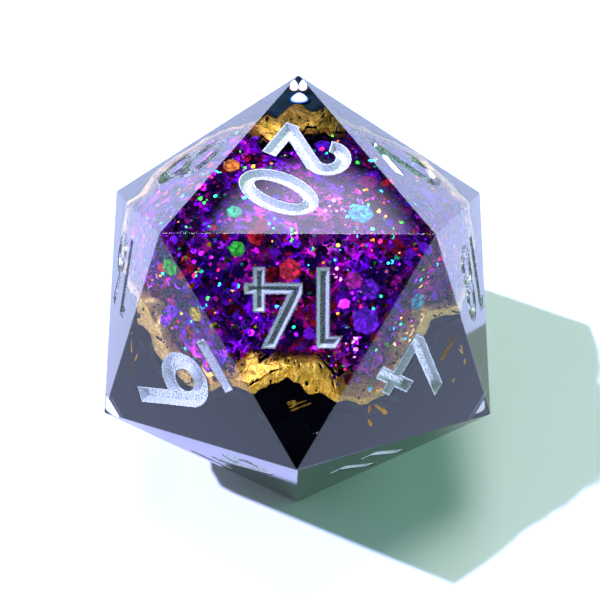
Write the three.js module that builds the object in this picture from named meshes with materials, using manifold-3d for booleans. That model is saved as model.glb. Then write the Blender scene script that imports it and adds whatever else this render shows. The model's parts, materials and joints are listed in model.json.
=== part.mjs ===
import * as THREE from "three";
import { ConvexGeometry } from "three/addons/geometries/ConvexGeometry.js";
import { mergeVertices } from "three/addons/utils/BufferGeometryUtils.js";
import Module from "manifold-3d";

// A twenty-sided die cast in resin. A glitter-filled body sits in a cup of black resin, a band of
// gold leaf closes the joint between them, three corners are clear resin, and every number is a
// recess lined with silver paint.
// Millimetres. The die stands on face 1, face 20 is level on top, and face 14 looks towards -Y.

// Body
const ACROSS_FACES = 20;              // the face it stands on to the face on top
const GAP = 0.02;                     // clearance left between neighbouring pieces
const CLOSEST_POINTS = 0.003;         // points nearer than this become one

// Numerals
const GROOVE_DEPTH = 0.5;             // recess floor below the face
const WALL_SLOPE = 0.4;               // how far a recess wall leans in for each unit of depth
const PAINT_SINK = 0.03;              // rim of the paint below the face
const PAINT_ON_FLOOR = 0.12;          // paint thickness on the recess floor
const PAINT_ON_WALL = 0.05;           // paint thickness on the recess walls
const ARC_STEP = 26;                  // degrees of arc covered by one flat of a curved stroke
const CUT_ABOVE = 0.2;                // how far a cutting tool stands above the face

// Joint between the two resins, measured from the centre towards the edge shared by 20 and 14
const CUP_FLOOR = 4.5;                // height of the joint on the axis
const CUP_FLAT_RADIUS = 2;            // the joint is level inside this radius
const CUP_RIM_RADIUS = 6;             // and follows the rim outside this one
const RIM_STATIONS = 72;              // flats round the joint

// Height of the rim round the axis, by degrees from +X towards the back
const RIM_POINTS = [
  [-180, 4.3], [-165, 7], [-156, 6.6], [-148, 6.1], [-140, 5.8], [-131, 5.8], [-124, 6.3],
  [-119, 7.1], [-114, 7.7], [-104, 8.15], [-95, 8.25], [-86, 8.1], [-75, 7.8], [-71, 7.4],
  [-64, 6.6], [-54, 6.3], [-46, 6.9], [-36, 7.2], [-25, 7.6], [-19, 7.1], [-12, 6], [0, 4.3],
  [14, 2.6], [24, 3.2], [30, 3.6], [38, 2.7], [50, 3], [62, 5.3], [74, 7.45], [90, 7.7],
  [107, 7.75], [118, 4.9], [128, 3.5], [138, 2.6], [150, 3.8], [160, 2.8], [170, 3.1],
];

// Gold leaf band in that joint
const GOLD_HALF_THIN = 0.24;          // half thickness at front and back
const GOLD_HALF_EXTRA = 0.18;         // added at the two sides
const GOLD_REACH = 0.85;              // the band ends on a core scaled by this much

// Clear corners, by the length of edge each one takes up
const BACK_TIP_EDGE = 2.4;
const LEFT_TIP_EDGE = 1.3;
const RIGHT_TIP_EDGE = 1.5;

// Large glitter flakes lying in the faces
const FLAKE_THICKNESS = 0.15;
const FLAKE_SINK = 0.03;

const GOLDEN = (1 + Math.sqrt(5)) / 2;
const INRADIUS = ACROSS_FACES / 2;
const EDGE = (12 * INRADIUS) / (Math.sqrt(3) * (3 + Math.sqrt(5)));
const EDGE_TO_AXIS = Math.sqrt((5 - Math.sqrt(5)) / 10);   // cosine from a corner's axis to its edges

const wasm = await Module();
wasm.setup();

// ---- materials ----

function resin(colour, roughness) {
  return { colour, roughness, metalness: 0 };
}

function foil(colour, roughness) {
  return { colour, roughness, metalness: 1 };
}

const FINISH = {
  black_resin: resin("#0b0b10", 0.08),
  glitter_resin: resin("#3c1478", 0.1),
  clear_resin: resin("#e9efee", 0.05),
  gold_leaf: foil("#c8973a", 0.35),
  silver_paint: foil("#d9dde0", 0.45),
  violet_flake: foil("#6a25d8", 0.25),
  magenta_flake: foil("#d81f9c", 0.25),
  red_flake: foil("#c81e46", 0.25),
  orange_flake: foil("#f08030", 0.25),
  yellow_flake: foil("#e8d53a", 0.25),
  green_flake: foil("#52c23c", 0.25),
  teal_flake: foil("#25b89a", 0.25),
  cyan_flake: foil("#45c8ee", 0.25),
};

function materialFor(slot) {
  const { colour, roughness, metalness } = FINISH[slot];
  const material = new THREE.MeshStandardMaterial({ color: colour, roughness, metalness });
  material.name = slot;
  return material;
}

// ---- joining and cutting ----

function toSolid(geometry, closest = 1e-5) {
  const bare = geometry.clone();
  bare.deleteAttribute("normal");
  bare.deleteAttribute("uv");
  const merged = mergeVertices(bare, closest);
  return new wasm.Manifold(new wasm.Mesh({
    numProp: 3,
    vertProperties: new Float32Array(merged.attributes.position.array),
    triVerts: new Uint32Array(merged.index.array),
  }));
}

function toGeometry(solid) {
  const mesh = solid.getMesh();
  const geometry = new THREE.BufferGeometry();
  geometry.setAttribute("position", new THREE.BufferAttribute(new Float32Array(mesh.vertProperties), 3));
  geometry.setIndex(new THREE.BufferAttribute(new Uint32Array(mesh.triVerts), 1));
  geometry.computeVertexNormals();
  return geometry;
}

function joined(solids) {
  return solids.reduce((sum, next) => sum.add(next));
}

// Shallow recesses can leave a crumb loose from the body, and the crumbs are dropped.
function largestPiece(solid) {
  const pieces = solid.decompose();
  return pieces.reduce((best, next) => (next.volume() > best.volume() ? next : best));
}

// ---- the twelve corners and the twenty faces ----

function ringCorner(radius, degrees, height) {
  const angle = THREE.MathUtils.degToRad(degrees);
  return new THREE.Vector3(radius * Math.cos(angle), radius * Math.sin(angle), height);
}

function makeCorners() {
  const topRing = EDGE / Math.sqrt(3);
  const upperRing = topRing * GOLDEN;
  const upperHeight = INRADIUS / GOLDEN ** 3;
  const upper = {
    back: ringCorner(topRing, 90, INRADIUS),
    left: ringCorner(topRing, 210, INRADIUS),
    right: ringCorner(topRing, 330, INRADIUS),
    front: ringCorner(upperRing, 270, upperHeight),
    rightShoulder: ringCorner(upperRing, 30, upperHeight),
    leftShoulder: ringCorner(upperRing, 150, upperHeight),
  };
  const lower = {
    leftHip: upper.rightShoulder.clone().negate(),
    rightHip: upper.leftShoulder.clone().negate(),
    frontFoot: upper.back.clone().negate(),
  };
  return { ...upper, ...lower };
}

const CORNER = makeCorners();

// The ten faces of the upper front, each with the corner its number points to. The other ten lie
// opposite, where the two numbers add up to 21.
const SHOWN_FACES = [
  { number: 20, corners: ["right", "left", "back"] },
  { number: 14, corners: ["front", "left", "right"] },
  { number: 6, corners: ["leftHip", "left", "front"] },
  { number: 4, corners: ["rightHip", "right", "front"] },
  { number: 8, corners: ["leftShoulder", "left", "back"] },
  { number: 2, corners: ["rightShoulder", "right", "back"] },
  { number: 16, corners: ["leftHip", "left", "leftShoulder"] },
  { number: 18, corners: ["rightHip", "right", "rightShoulder"] },
  { number: 9, corners: ["front", "leftHip", "frontFoot"] },
  { number: 11, corners: ["front", "rightHip", "frontFoot"] },
];

// Height, stroke width and place of the numbers that differ from the common layout
const ONE_DIGIT = { height: 5.2, stroke: 0.85, x: 0, y: 0.3 };
const TWO_DIGITS = { height: 4, stroke: 0.68, x: 0.1, y: -0.3 };
const OWN_LAYOUT = {
  20: { height: 4.36, stroke: 0.82, x: -0.25, y: -0.33 },
  14: { height: 3.95, stroke: 0.68, x: 0.18, y: -0.27 },
  6: { height: 5.6, stroke: 0.94, x: -0.28, y: 1.4 },
  4: { height: 4.8, stroke: 0.78, x: -0.3, y: 0.2 },
  8: { height: 5.3, stroke: 0.85, x: 0.3, y: 0.3 },
  2: { height: 5.2, stroke: 0.85, x: -0.2, y: 0.5 },
  16: { height: 4.2, stroke: 0.7, x: 0.8, y: -0.2 },
  18: { height: 4.2, stroke: 0.7, x: -0.5, y: 0 },
  9: { height: 5.2, stroke: 0.9, x: 0, y: 0.9 },
};

function faceFrame([up, second, third]) {
  const centre = up.clone().add(second).add(third).divideScalar(3);
  const outward = centre.clone().normalize();
  const upward = up.clone().sub(centre).normalize();
  const rightward = upward.clone().cross(outward);
  return new THREE.Matrix4().makeBasis(rightward, upward, outward).setPosition(centre);
}

function makeFaces() {
  const faces = new Map();
  for (const { number, corners } of SHOWN_FACES) {
    const here = corners.map((name) => CORNER[name]);
    const opposite = here.map((point) => point.clone().negate());
    faces.set(number, faceFrame(here));
    faces.set(21 - number, faceFrame(opposite));
  }
  return faces;
}

const FACES = makeFaces();

function wholeDie(scale) {
  const upper = ["back", "left", "right", "front", "rightShoulder", "leftShoulder"];
  const points = upper.flatMap((name) => {
    const point = CORNER[name].clone().multiplyScalar(scale);
    return [point, point.clone().negate()];
  });
  return toSolid(new ConvexGeometry(points));
}

// ---- strokes of the numerals ----
// A stroke is either a convex outline or an arc. Both are given at the face and lean in below it.

function outline(...points) {
  const corners = points.map(([x, y]) => new THREE.Vector2(x, y));
  if (THREE.ShapeUtils.isClockWise(corners)) corners.reverse();
  return { corners };
}

function box(left, right, bottom, top) {
  return outline([left, bottom], [right, bottom], [right, top], [left, top]);
}

function straight(from, to, width) {
  const along = new THREE.Vector2(to[0] - from[0], to[1] - from[1]).normalize();
  const aside = new THREE.Vector2(-along.y, along.x).multiplyScalar(width / 2);
  return outline(
    [from[0] + aside.x, from[1] + aside.y],
    [from[0] - aside.x, from[1] - aside.y],
    [to[0] - aside.x, to[1] - aside.y],
    [to[0] + aside.x, to[1] + aside.y],
  );
}

function arc(x, y, radiusX, radiusY, width, from, to) {
  return { x, y, radiusX, radiusY, width, from, to };
}

function ring(x, y, radiusX, radiusY, width) {
  return arc(x, y, radiusX, radiusY, width, 0, 360);
}

// Round figures are stacked from two circles that share their middle stroke.
function stackedRadii(height, stroke) {
  const mean = (height - stroke) / 4;
  return { upper: 0.93 * mean, lower: 1.07 * mean };
}

function sixStrokes(height, stroke) {
  const radius = 0.194 * height;
  const centreY = stroke / 2 + radius - height / 2;
  const lean = THREE.MathUtils.degToRad(21.6);
  const startX = -radius * Math.cos(lean);
  const startY = centreY + radius * Math.sin(lean);
  const endY = height / 2 - (stroke / 2) * Math.sin(lean);
  const endX = startX + (endY - startY) * Math.tan(lean);
  const early = 0.3 * stroke;
  return [
    ring(0, centreY, radius, radius, stroke),
    straight([startX - early * Math.sin(lean), startY - early * Math.cos(lean)], [endX, endY], stroke),
  ];
}

function turned(strokes) {
  return strokes.map((stroke) => (stroke.corners
    ? outline(...stroke.corners.map((point) => [-point.x, -point.y]))
    : { ...stroke, x: -stroke.x, y: -stroke.y, from: stroke.from + 180, to: stroke.to + 180 }));
}

const GLYPHS = {
  0: (h, s) => ({ width: 0.6 * h, strokes: [ring(0, 0, 0.3 * h - s / 2, (h - s) / 2, s)] }),
  1: (h, s) => {
    const stem = 0.123 * h - s / 4;
    return {
      width: 0.246 * h + s / 2,
      strokes: [
        box(stem - s / 2, stem + s / 2, -h / 2, h / 2),
        outline(
          [stem + s / 2, h / 2],
          [stem - 0.165 * h, h / 2],
          [stem - 0.246 * h, h / 2 - 0.93 * s],
          [stem + s / 2, h / 2 - 0.93 * s],
        ),
      ],
    };
  },
  2: (h, s) => {
    const radius = 0.287 * h - s / 2;
    const centreY = h / 2 - s / 2 - radius;
    const turn = THREE.MathUtils.degToRad(35);
    const joinX = radius * Math.cos(turn);
    const joinY = centreY - radius * Math.sin(turn);
    const footY = s / 2 - h / 2;
    const footX = joinX - (joinY - footY) * Math.tan(turn);
    const early = 0.4 * s;
    return {
      width: 0.574 * h,
      strokes: [
        arc(0, centreY, radius, radius, s, -50, 198),
        straight([joinX + early * Math.sin(turn), joinY + early * Math.cos(turn)], [footX, footY], s),
        box(-0.287 * h, 0.287 * h, -h / 2, -h / 2 + s),
      ],
    };
  },
  3: (h, s) => {
    const { upper, lower } = stackedRadii(h, s);
    return {
      width: 2 * lower + s,
      strokes: [
        arc(0, h / 2 - s / 2 - upper, upper, upper, s, -115, 165),
        arc(0, s / 2 - h / 2 + lower, lower, lower, s, -165, 115),
      ],
    };
  },
  4: (h, s) => ({
    width: 0.718 * h,
    strokes: [
      outline(
        [0.157 * h, h / 2],
        [0.157 * h - 1.05 * s, h / 2],
        [-0.359 * h, -0.176 * h],
        [-0.359 * h, -0.31 * h],
        [-0.238 * h, -0.31 * h],
      ),
      box(-0.359 * h, 0.359 * h, -0.31 * h, -0.31 * h + 0.86 * s),
      box(0.176 * h - 0.46 * s, 0.176 * h + 0.46 * s, -h / 2, 0.056 * h),
    ],
  }),
  5: (h, s) => {
    const radius = 0.3 * h - s / 2;
    const left = -0.26 * h;
    return {
      width: 0.58 * h,
      strokes: [
        box(left, 0.25 * h, h / 2 - s, h / 2),
        box(left, left + s, -0.02 * h, h / 2),
        arc(-0.02 * h, s / 2 - h / 2 + radius, radius, radius, s, -155, 128),
      ],
    };
  },
  6: (h, s) => ({ width: 0.388 * h + s, strokes: sixStrokes(h, s) }),
  7: (h, s) => ({
    width: 0.56 * h,
    strokes: [
      box(-0.28 * h, 0.28 * h, h / 2 - 0.95 * s, h / 2),
      outline(
        [0.28 * h, h / 2],
        [0.28 * h - 1.1 * s, h / 2],
        [-0.16 * h, -h / 2],
        [-0.16 * h + 1.1 * s, -h / 2],
      ),
    ],
  }),
  8: (h, s) => {
    const { upper, lower } = stackedRadii(h, s);
    return {
      width: 2 * lower + s,
      strokes: [
        ring(0, h / 2 - s / 2 - upper, upper, upper, s),
        ring(0, s / 2 - h / 2 + lower, lower, lower, s),
      ],
    };
  },
  9: (h, s) => ({ width: 0.388 * h + s, strokes: turned(sixStrokes(h, s)) }),
};

// ---- solids swept from the strokes ----
// A layer says between which heights the solid runs and how much narrower than the recess it is.

const RECESS = { low: -GROOVE_DEPTH, high: CUT_ABOVE, narrower: 0 };
const PAINT_OUTSIDE = { low: GAP - GROOVE_DEPTH, high: -PAINT_SINK, narrower: GAP };
const PAINT_INSIDE = {
  low: GAP + PAINT_ON_FLOOR - GROOVE_DEPTH,
  high: CUT_ABOVE,
  narrower: GAP + PAINT_ON_WALL,
};

function leanAt(height, layer) {
  return layer.narrower - height * WALL_SLOPE;
}

function inwardNormal(from, to) {
  return new THREE.Vector2(from.y - to.y, to.x - from.x).normalize();
}

function shrunk(corners, amount) {
  return corners.map((corner, index) => {
    const before = corners[(index + corners.length - 1) % corners.length];
    const after = corners[(index + 1) % corners.length];
    const first = inwardNormal(before, corner);
    const second = inwardNormal(corner, after);
    const reach = amount / (1 + first.dot(second));
    return corner.clone().addScaledVector(first.add(second), reach);
  });
}

function outlineSolid(stroke, layer) {
  const points = [layer.low, layer.high].flatMap((height) => (
    shrunk(stroke.corners, leanAt(height, layer)).map((p) => new THREE.Vector3(p.x, p.y, height))
  ));
  return toSolid(new ConvexGeometry(points));
}

function arcPoint(stroke, radialShift, angle, height) {
  const x = stroke.x + (stroke.radiusX + radialShift) * Math.cos(angle);
  const y = stroke.y + (stroke.radiusY + radialShift) * Math.sin(angle);
  return [x, y, height];
}

// Four corner points of the groove section at one station of an arc
function arcSection(stroke, layer, share, closed) {
  return [layer.low, layer.high].flatMap((height) => {
    const lean = leanAt(height, layer);
    const endTrim = closed ? 0 : lean / stroke.radiusX;
    const from = THREE.MathUtils.degToRad(stroke.from) + endTrim;
    const to = THREE.MathUtils.degToRad(stroke.to) - endTrim;
    const angle = from + (to - from) * share;
    const half = stroke.width / 2 - lean;
    const inner = arcPoint(stroke, -half, angle, height);
    const outer = arcPoint(stroke, half, angle, height);
    return height === layer.low ? [inner, outer] : [outer, inner];
  });
}

function arcSolid(stroke, layer) {
  const sweep = stroke.to - stroke.from;
  const closed = sweep >= 360;
  const flats = Math.max(4, Math.round(sweep / ARC_STEP));
  const stations = closed ? flats : flats + 1;
  const positions = [];
  for (let i = 0; i < stations; i += 1) {
    positions.push(...arcSection(stroke, layer, i / flats, closed).flat());
  }
  const triangles = [];
  for (let i = 0; i < flats; i += 1) {
    const here = 4 * i;
    const next = 4 * ((i + 1) % stations);
    for (let side = 0; side < 4; side += 1) {
      const after = (side + 1) % 4;
      triangles.push(here + side, next + after, here + after);
      triangles.push(here + side, next + side, next + after);
    }
  }
  if (!closed) {
    const last = 4 * flats;
    triangles.push(0, 1, 2, 0, 2, 3);
    triangles.push(last, last + 2, last + 1, last, last + 3, last + 2);
  }
  const geometry = new THREE.BufferGeometry();
  geometry.setAttribute("position", new THREE.Float32BufferAttribute(positions, 3));
  geometry.setIndex(triangles);
  return toSolid(geometry);
}

function strokesSolid(strokes, layer) {
  return joined(strokes.map((s) => (s.corners ? outlineSolid(s, layer) : arcSolid(s, layer))));
}

// ---- the numbers laid out on their faces ----

const DIGIT_SPACE = 0.16;             // space between two digits, by digit height
const BAR_LENGTH = 0.52;              // line under 6 and 9, by digit height
const BAR_THICKNESS = 0.62;
const BAR_DROP = 0.68;                // space between the digit and its line

function figuresOf(number) {
  const layout = OWN_LAYOUT[number] ?? (number < 10 ? ONE_DIGIT : TWO_DIGITS);
  const { height, stroke } = layout;
  const glyphs = [...String(number)].map((digit) => GLYPHS[digit](height, stroke));
  const space = DIGIT_SPACE * height;
  const total = glyphs.reduce((sum, glyph) => sum + glyph.width, space * (glyphs.length - 1));
  const names = glyphs.length === 1 ? [""] : ["_tens", "_units"];
  let left = layout.x - total / 2;
  const figures = glyphs.map((glyph, index) => {
    const centreX = left + glyph.width / 2;
    left += glyph.width + space;
    return { name: `numeral_${number}${names[index]}`, strokes: glyph.strokes, x: centreX, y: layout.y };
  });
  if (number === 6 || number === 9) {
    const half = (BAR_LENGTH * height) / 2;
    const top = -height / 2 - BAR_DROP;
    figures.push({
      name: `numeral_${number}_bar`,
      strokes: [box(-half, half, top - BAR_THICKNESS, top)],
      x: layout.x,
      y: layout.y,
    });
  }
  return figures;
}

function onFace(solid, number, x, y) {
  const place = new THREE.Matrix4().makeTranslation(x, y, 0).premultiply(FACES.get(number));
  return solid.transform(place.toArray());
}

function makeNumerals() {
  const numerals = [];
  for (let number = 1; number <= 20; number += 1) {
    for (const { name, strokes, x, y } of figuresOf(number)) {
      const recess = strokesSolid(strokes, RECESS);
      const paint = strokesSolid(strokes, PAINT_OUTSIDE).subtract(strokesSolid(strokes, PAINT_INSIDE));
      numerals.push({
        name,
        recess: onFace(recess, number, x, y),
        paint: onFace(paint, number, x, y),
      });
    }
  }
  return numerals;
}

// ---- the joint between the two resins ----

const JOINT_AXIS = CORNER.left.clone().add(CORNER.right).normalize();
const JOINT_RIGHT = new THREE.Vector3(1, 0, 0);
const JOINT_BACK = JOINT_AXIS.clone().cross(JOINT_RIGHT);

// One of the rim's points, counted on past the end of the list into the next turn
function rimPoint(index) {
  const count = RIM_POINTS.length;
  const [degrees, height] = RIM_POINTS[(index + count) % count];
  return { degrees: degrees + 360 * Math.floor(index / count), height };
}

function rimSlope(index) {
  const before = rimPoint(index - 1);
  const after = rimPoint(index + 1);
  return (after.height - before.height) / (after.degrees - before.degrees);
}

// A smooth curve through the rim's points
function rimHeight(angle) {
  const degrees = THREE.MathUtils.euclideanModulo(THREE.MathUtils.radToDeg(angle) + 180, 360) - 180;
  const index = RIM_POINTS.findLastIndex(([start]) => start <= degrees);
  const here = rimPoint(index);
  const next = rimPoint(index + 1);
  const span = next.degrees - here.degrees;
  const share = (degrees - here.degrees) / span;
  const rest = 1 - share;
  const level = here.height * (1 + 2 * share) * rest ** 2 + next.height * (3 - 2 * share) * share ** 2;
  const bend = rimSlope(index) * share * rest ** 2 - rimSlope(index + 1) * share ** 2 * rest;
  return level + span * bend;
}

function jointHeight(radius, angle) {
  const share = THREE.MathUtils.smoothstep(radius, CUP_FLAT_RADIUS, CUP_RIM_RADIUS);
  return CUP_FLOOR + (rimHeight(angle) - CUP_FLOOR) * share;
}

function goldHalf(angle) {
  return GOLD_HALF_THIN + GOLD_HALF_EXTRA * Math.cos(angle) ** 2;
}

// Everything above the joint, which can be raised or lowered by a part of the gold band
function aboveJoint(bandShare, lift) {
  const radii = [CUP_FLAT_RADIUS, (CUP_FLAT_RADIUS + CUP_RIM_RADIUS) / 2, CUP_RIM_RADIUS, 16];
  const lid = 2 * INRADIUS;
  const points = [];
  const addPoint = (radius, angle, height) => {
    const point = JOINT_AXIS.clone().multiplyScalar(height);
    point.addScaledVector(JOINT_RIGHT, radius * Math.cos(angle));
    point.addScaledVector(JOINT_BACK, radius * Math.sin(angle));
    points.push(point.x, point.y, point.z);
  };
  const shiftAt = (angle) => bandShare * goldHalf(angle) + lift;
  addPoint(0, 0, CUP_FLOOR + lift + bandShare * GOLD_HALF_THIN);
  for (const radius of radii) {
    for (let i = 0; i < RIM_STATIONS; i += 1) {
      const angle = (2 * Math.PI * i) / RIM_STATIONS;
      addPoint(radius, angle, jointHeight(radius, angle) + shiftAt(angle));
    }
  }
  for (let i = 0; i < RIM_STATIONS; i += 1) {
    addPoint(radii.at(-1), (2 * Math.PI * i) / RIM_STATIONS, lid);
  }
  addPoint(0, 0, lid);
  const triangles = [];
  const rings = radii.length + 1;
  const lidCentre = 1 + rings * RIM_STATIONS;
  for (let i = 0; i < RIM_STATIONS; i += 1) {
    const j = (i + 1) % RIM_STATIONS;
    triangles.push(0, 1 + j, 1 + i);
    for (let k = 0; k + 1 < rings; k += 1) {
      const inner = 1 + k * RIM_STATIONS;
      const outer = inner + RIM_STATIONS;
      triangles.push(inner + i, inner + j, outer + j);
      triangles.push(inner + i, outer + j, outer + i);
    }
    const edge = 1 + (rings - 1) * RIM_STATIONS;
    triangles.push(edge + i, edge + j, lidCentre);
  }
  const geometry = new THREE.BufferGeometry();
  geometry.setAttribute("position", new THREE.Float32BufferAttribute(points, 3));
  geometry.setIndex(triangles);
  return toSolid(geometry);
}

function goldZone(clearance) {
  const band = aboveJoint(-1, -clearance).subtract(aboveJoint(1, clearance));
  return band.subtract(wholeDie(GOLD_REACH - clearance / INRADIUS));
}

// ---- clear corners ----

const TIPS = [
  { name: "clear_tip_back", corner: "back", edge: BACK_TIP_EDGE },
  { name: "clear_tip_left", corner: "leftHip", edge: LEFT_TIP_EDGE },
  { name: "clear_tip_right", corner: "rightHip", edge: RIGHT_TIP_EDGE },
];

function beyondPlane(direction, distance) {
  const size = 2 * ACROSS_FACES;
  const block = new THREE.BoxGeometry(size, size, size);
  block.translate(0, 0, distance + size / 2);
  const axis = direction.clone().normalize();
  block.applyQuaternion(new THREE.Quaternion().setFromUnitVectors(new THREE.Vector3(0, 0, 1), axis));
  return toSolid(block);
}

function tipZone({ corner, edge }, clearance) {
  const point = CORNER[corner];
  return beyondPlane(point, point.length() - edge * EDGE_TO_AXIS - clearance);
}

// ---- large flakes ----

const FLAKES = [
  { slot: "violet_flake", face: 14, x: -3.3, y: 0.35, across: 1.2, turn: 10 },
  { slot: "magenta_flake", face: 14, x: -2.7, y: -1.6, across: 0.8, turn: 40 },
  { slot: "red_flake", face: 14, x: 0.35, y: -2.1, across: 1, turn: 5 },
  { slot: "green_flake", face: 14, x: 2.9, y: -3.1, across: 0.7, turn: 25 },
  { slot: "cyan_flake", face: 20, x: 0.6, y: 3.9, across: 1.1, turn: 20 },
  { slot: "orange_flake", face: 20, x: 1, y: -3.3, across: 0.8, turn: 0 },
  { slot: "teal_flake", face: 20, x: 3.6, y: -1.5, across: 0.7, turn: 15 },
  { slot: "yellow_flake", face: 6, x: 2.4, y: -3.1, across: 0.7, turn: 30 },
  { slot: "green_flake", face: 6, x: 5, y: -3.2, across: 0.8, turn: 45 },
  { slot: "cyan_flake", face: 4, x: -3.4, y: -2.4, across: 0.8, turn: 12 },
  { slot: "magenta_flake", face: 8, x: -2.6, y: 0.8, across: 0.9, turn: 8 },
  { slot: "violet_flake", face: 2, x: 2.6, y: -0.4, across: 1, turn: 33 },
];

function flakeSolid({ face, x, y, across, turn }, low, high, wider) {
  const radius = across / Math.sqrt(3) + wider;
  const prism = new THREE.CylinderGeometry(radius, radius, high - low, 6);
  prism.rotateX(Math.PI / 2);
  prism.rotateZ(THREE.MathUtils.degToRad(turn));
  prism.translate(0, 0, (high + low) / 2);
  return onFace(toSolid(prism), face, x, y);
}

function makeFlakes() {
  return FLAKES.map((flake, index) => {
    const floor = -FLAKE_SINK - FLAKE_THICKNESS;
    return {
      name: `glitter_flake_${index + 1}`,
      slot: flake.slot,
      flake: flakeSolid(flake, floor, -FLAKE_SINK, 0),
      pocket: flakeSolid(flake, floor - GAP, CUT_ABOVE, GAP),
    };
  });
}

// ---- assembly ----

const group = new THREE.Group();
group.name = "polyhedral_die";

function addPiece(name, slot, solid) {
  const standing = toGeometry(solid.translate(0, 0, INRADIUS));
  const settled = largestPiece(toSolid(standing, CLOSEST_POINTS));
  const mesh = new THREE.Mesh(toGeometry(settled), materialFor(slot));
  mesh.name = name;
  group.add(mesh);
}

const numerals = makeNumerals();
const flakes = makeFlakes();
const carved = wholeDie(1).subtract(joined(numerals.map((numeral) => numeral.recess)));
const goldRoom = goldZone(GAP);
const tipRoom = joined(TIPS.map((tip) => tipZone(tip, GAP)));
const pockets = joined(flakes.map((flake) => flake.pocket));

const blackBase = carved.subtract(aboveJoint(0, -GAP / 2)).subtract(goldRoom).subtract(tipRoom);
addPiece("black_resin_base", "black_resin", blackBase);

const glitterBody = carved.intersect(aboveJoint(0, GAP / 2)).subtract(goldRoom).subtract(pockets);
addPiece("glitter_resin_body", "glitter_resin", glitterBody);

const goldBand = carved.intersect(goldZone(0)).subtract(tipRoom);
addPiece("gold_leaf_seam", "gold_leaf", goldBand);

for (const tip of TIPS) {
  addPiece(tip.name, "clear_resin", carved.intersect(tipZone(tip, 0)));
}

for (const numeral of numerals) {
  addPiece(numeral.name, "silver_paint", numeral.paint);
}

for (const flake of flakes) {
  addPiece(flake.name, flake.slot, flake.flake);
}

export default group;
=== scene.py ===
import json
import math
from collections import namedtuple

import bmesh
import bpy
import numpy as np
from mathutils import Matrix, Vector
from mathutils.bvhtree import BVHTree

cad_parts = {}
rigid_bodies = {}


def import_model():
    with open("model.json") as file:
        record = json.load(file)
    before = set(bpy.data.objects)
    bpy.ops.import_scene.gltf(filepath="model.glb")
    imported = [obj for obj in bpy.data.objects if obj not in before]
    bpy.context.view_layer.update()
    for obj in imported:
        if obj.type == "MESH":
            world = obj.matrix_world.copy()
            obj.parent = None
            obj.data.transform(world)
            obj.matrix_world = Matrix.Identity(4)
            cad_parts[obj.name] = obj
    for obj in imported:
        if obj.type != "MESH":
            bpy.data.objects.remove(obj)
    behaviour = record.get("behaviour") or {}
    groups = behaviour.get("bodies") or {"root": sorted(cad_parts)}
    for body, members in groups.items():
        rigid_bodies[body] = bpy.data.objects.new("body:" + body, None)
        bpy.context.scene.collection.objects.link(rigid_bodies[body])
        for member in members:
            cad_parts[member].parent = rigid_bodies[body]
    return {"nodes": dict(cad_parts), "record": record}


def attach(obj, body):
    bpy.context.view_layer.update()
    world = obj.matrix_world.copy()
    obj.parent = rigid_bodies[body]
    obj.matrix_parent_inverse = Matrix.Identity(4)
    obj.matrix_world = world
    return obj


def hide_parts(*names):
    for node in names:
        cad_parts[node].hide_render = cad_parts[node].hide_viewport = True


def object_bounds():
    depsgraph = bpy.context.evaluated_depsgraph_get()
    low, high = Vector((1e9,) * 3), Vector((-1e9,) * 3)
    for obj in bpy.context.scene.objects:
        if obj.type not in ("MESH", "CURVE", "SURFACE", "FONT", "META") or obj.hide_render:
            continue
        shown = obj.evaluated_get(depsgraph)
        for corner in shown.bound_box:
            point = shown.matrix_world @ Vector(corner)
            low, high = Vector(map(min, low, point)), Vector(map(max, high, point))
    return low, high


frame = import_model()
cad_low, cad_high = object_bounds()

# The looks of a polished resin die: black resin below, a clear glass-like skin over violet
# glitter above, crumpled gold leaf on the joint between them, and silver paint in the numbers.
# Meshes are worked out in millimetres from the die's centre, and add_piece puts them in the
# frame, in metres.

MM = 0.001
CENTRE = (cad_low + cad_high) / 2
INRADIUS = (cad_high.z - cad_low.z) / 2 / MM
GOLDEN = (1 + math.sqrt(5)) / 2
EDGE = 12 * INRADIUS / (math.sqrt(3) * (3 + math.sqrt(5)))
EDGE_TO_AXIS = math.sqrt((5 - math.sqrt(5)) / 10)   # cosine from a corner's axis to its edges

# Numerals
GROOVE_DEPTH = 0.5
WALL_SLOPE = 0.4          # how far a recess wall leans in for each unit of depth
PAINT_SINK = 0.03         # rim of the paint below the face
PAINT_BITE = 0.01         # paint reaches this far into the resin
PAINT_ON_FLOOR = 0.1
PAINT_ON_WALL = 0.05
CUT_ABOVE = 0.2
ARC_STEP = 6              # degrees of arc covered by one flat of a curved stroke
DIGIT_SPACE = 0.16
BAR_LENGTH = 0.52
BAR_THICKNESS = 0.62
BAR_DROP = 0.68

# Outer shape
EDGE_ROUNDING = 0.05
ROUNDED_DEPTH = 0.04      # the rounding of an edge lies less deep than this below one face
ROUNDED_REACH = 0.12      # and less deep than this below the other
BLACK_BELOW = 0.002       # black resin's surface below the clear resin's
CLEAR_OVERLAP = 0.3       # clear resin reaches this far into the black
BELOW_LEAF = 0.3          # the leaf's groove ends this far below the leaf's edge
SKIN_GROOVE = 0.06        # depth of the room for the clear resin's lower edge
JOINT_GAP = 0.06          # black resin's bowl below the joint
TIP_EDGES = {"back": 2.4, "leftHip": 1.3, "rightHip": 1.5}
RESIN_IOR = 1.52

# Joint between the resins, measured along the axis through the edge shared by 20 and 14
CUP_FLOOR = 4.5
CUP_FLAT_RADIUS = 2
CUP_RIM_RADIUS = 6
JOINT_STATIONS = 360
OUTSIDE_RADIUS = 16       # well outside the die

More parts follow.
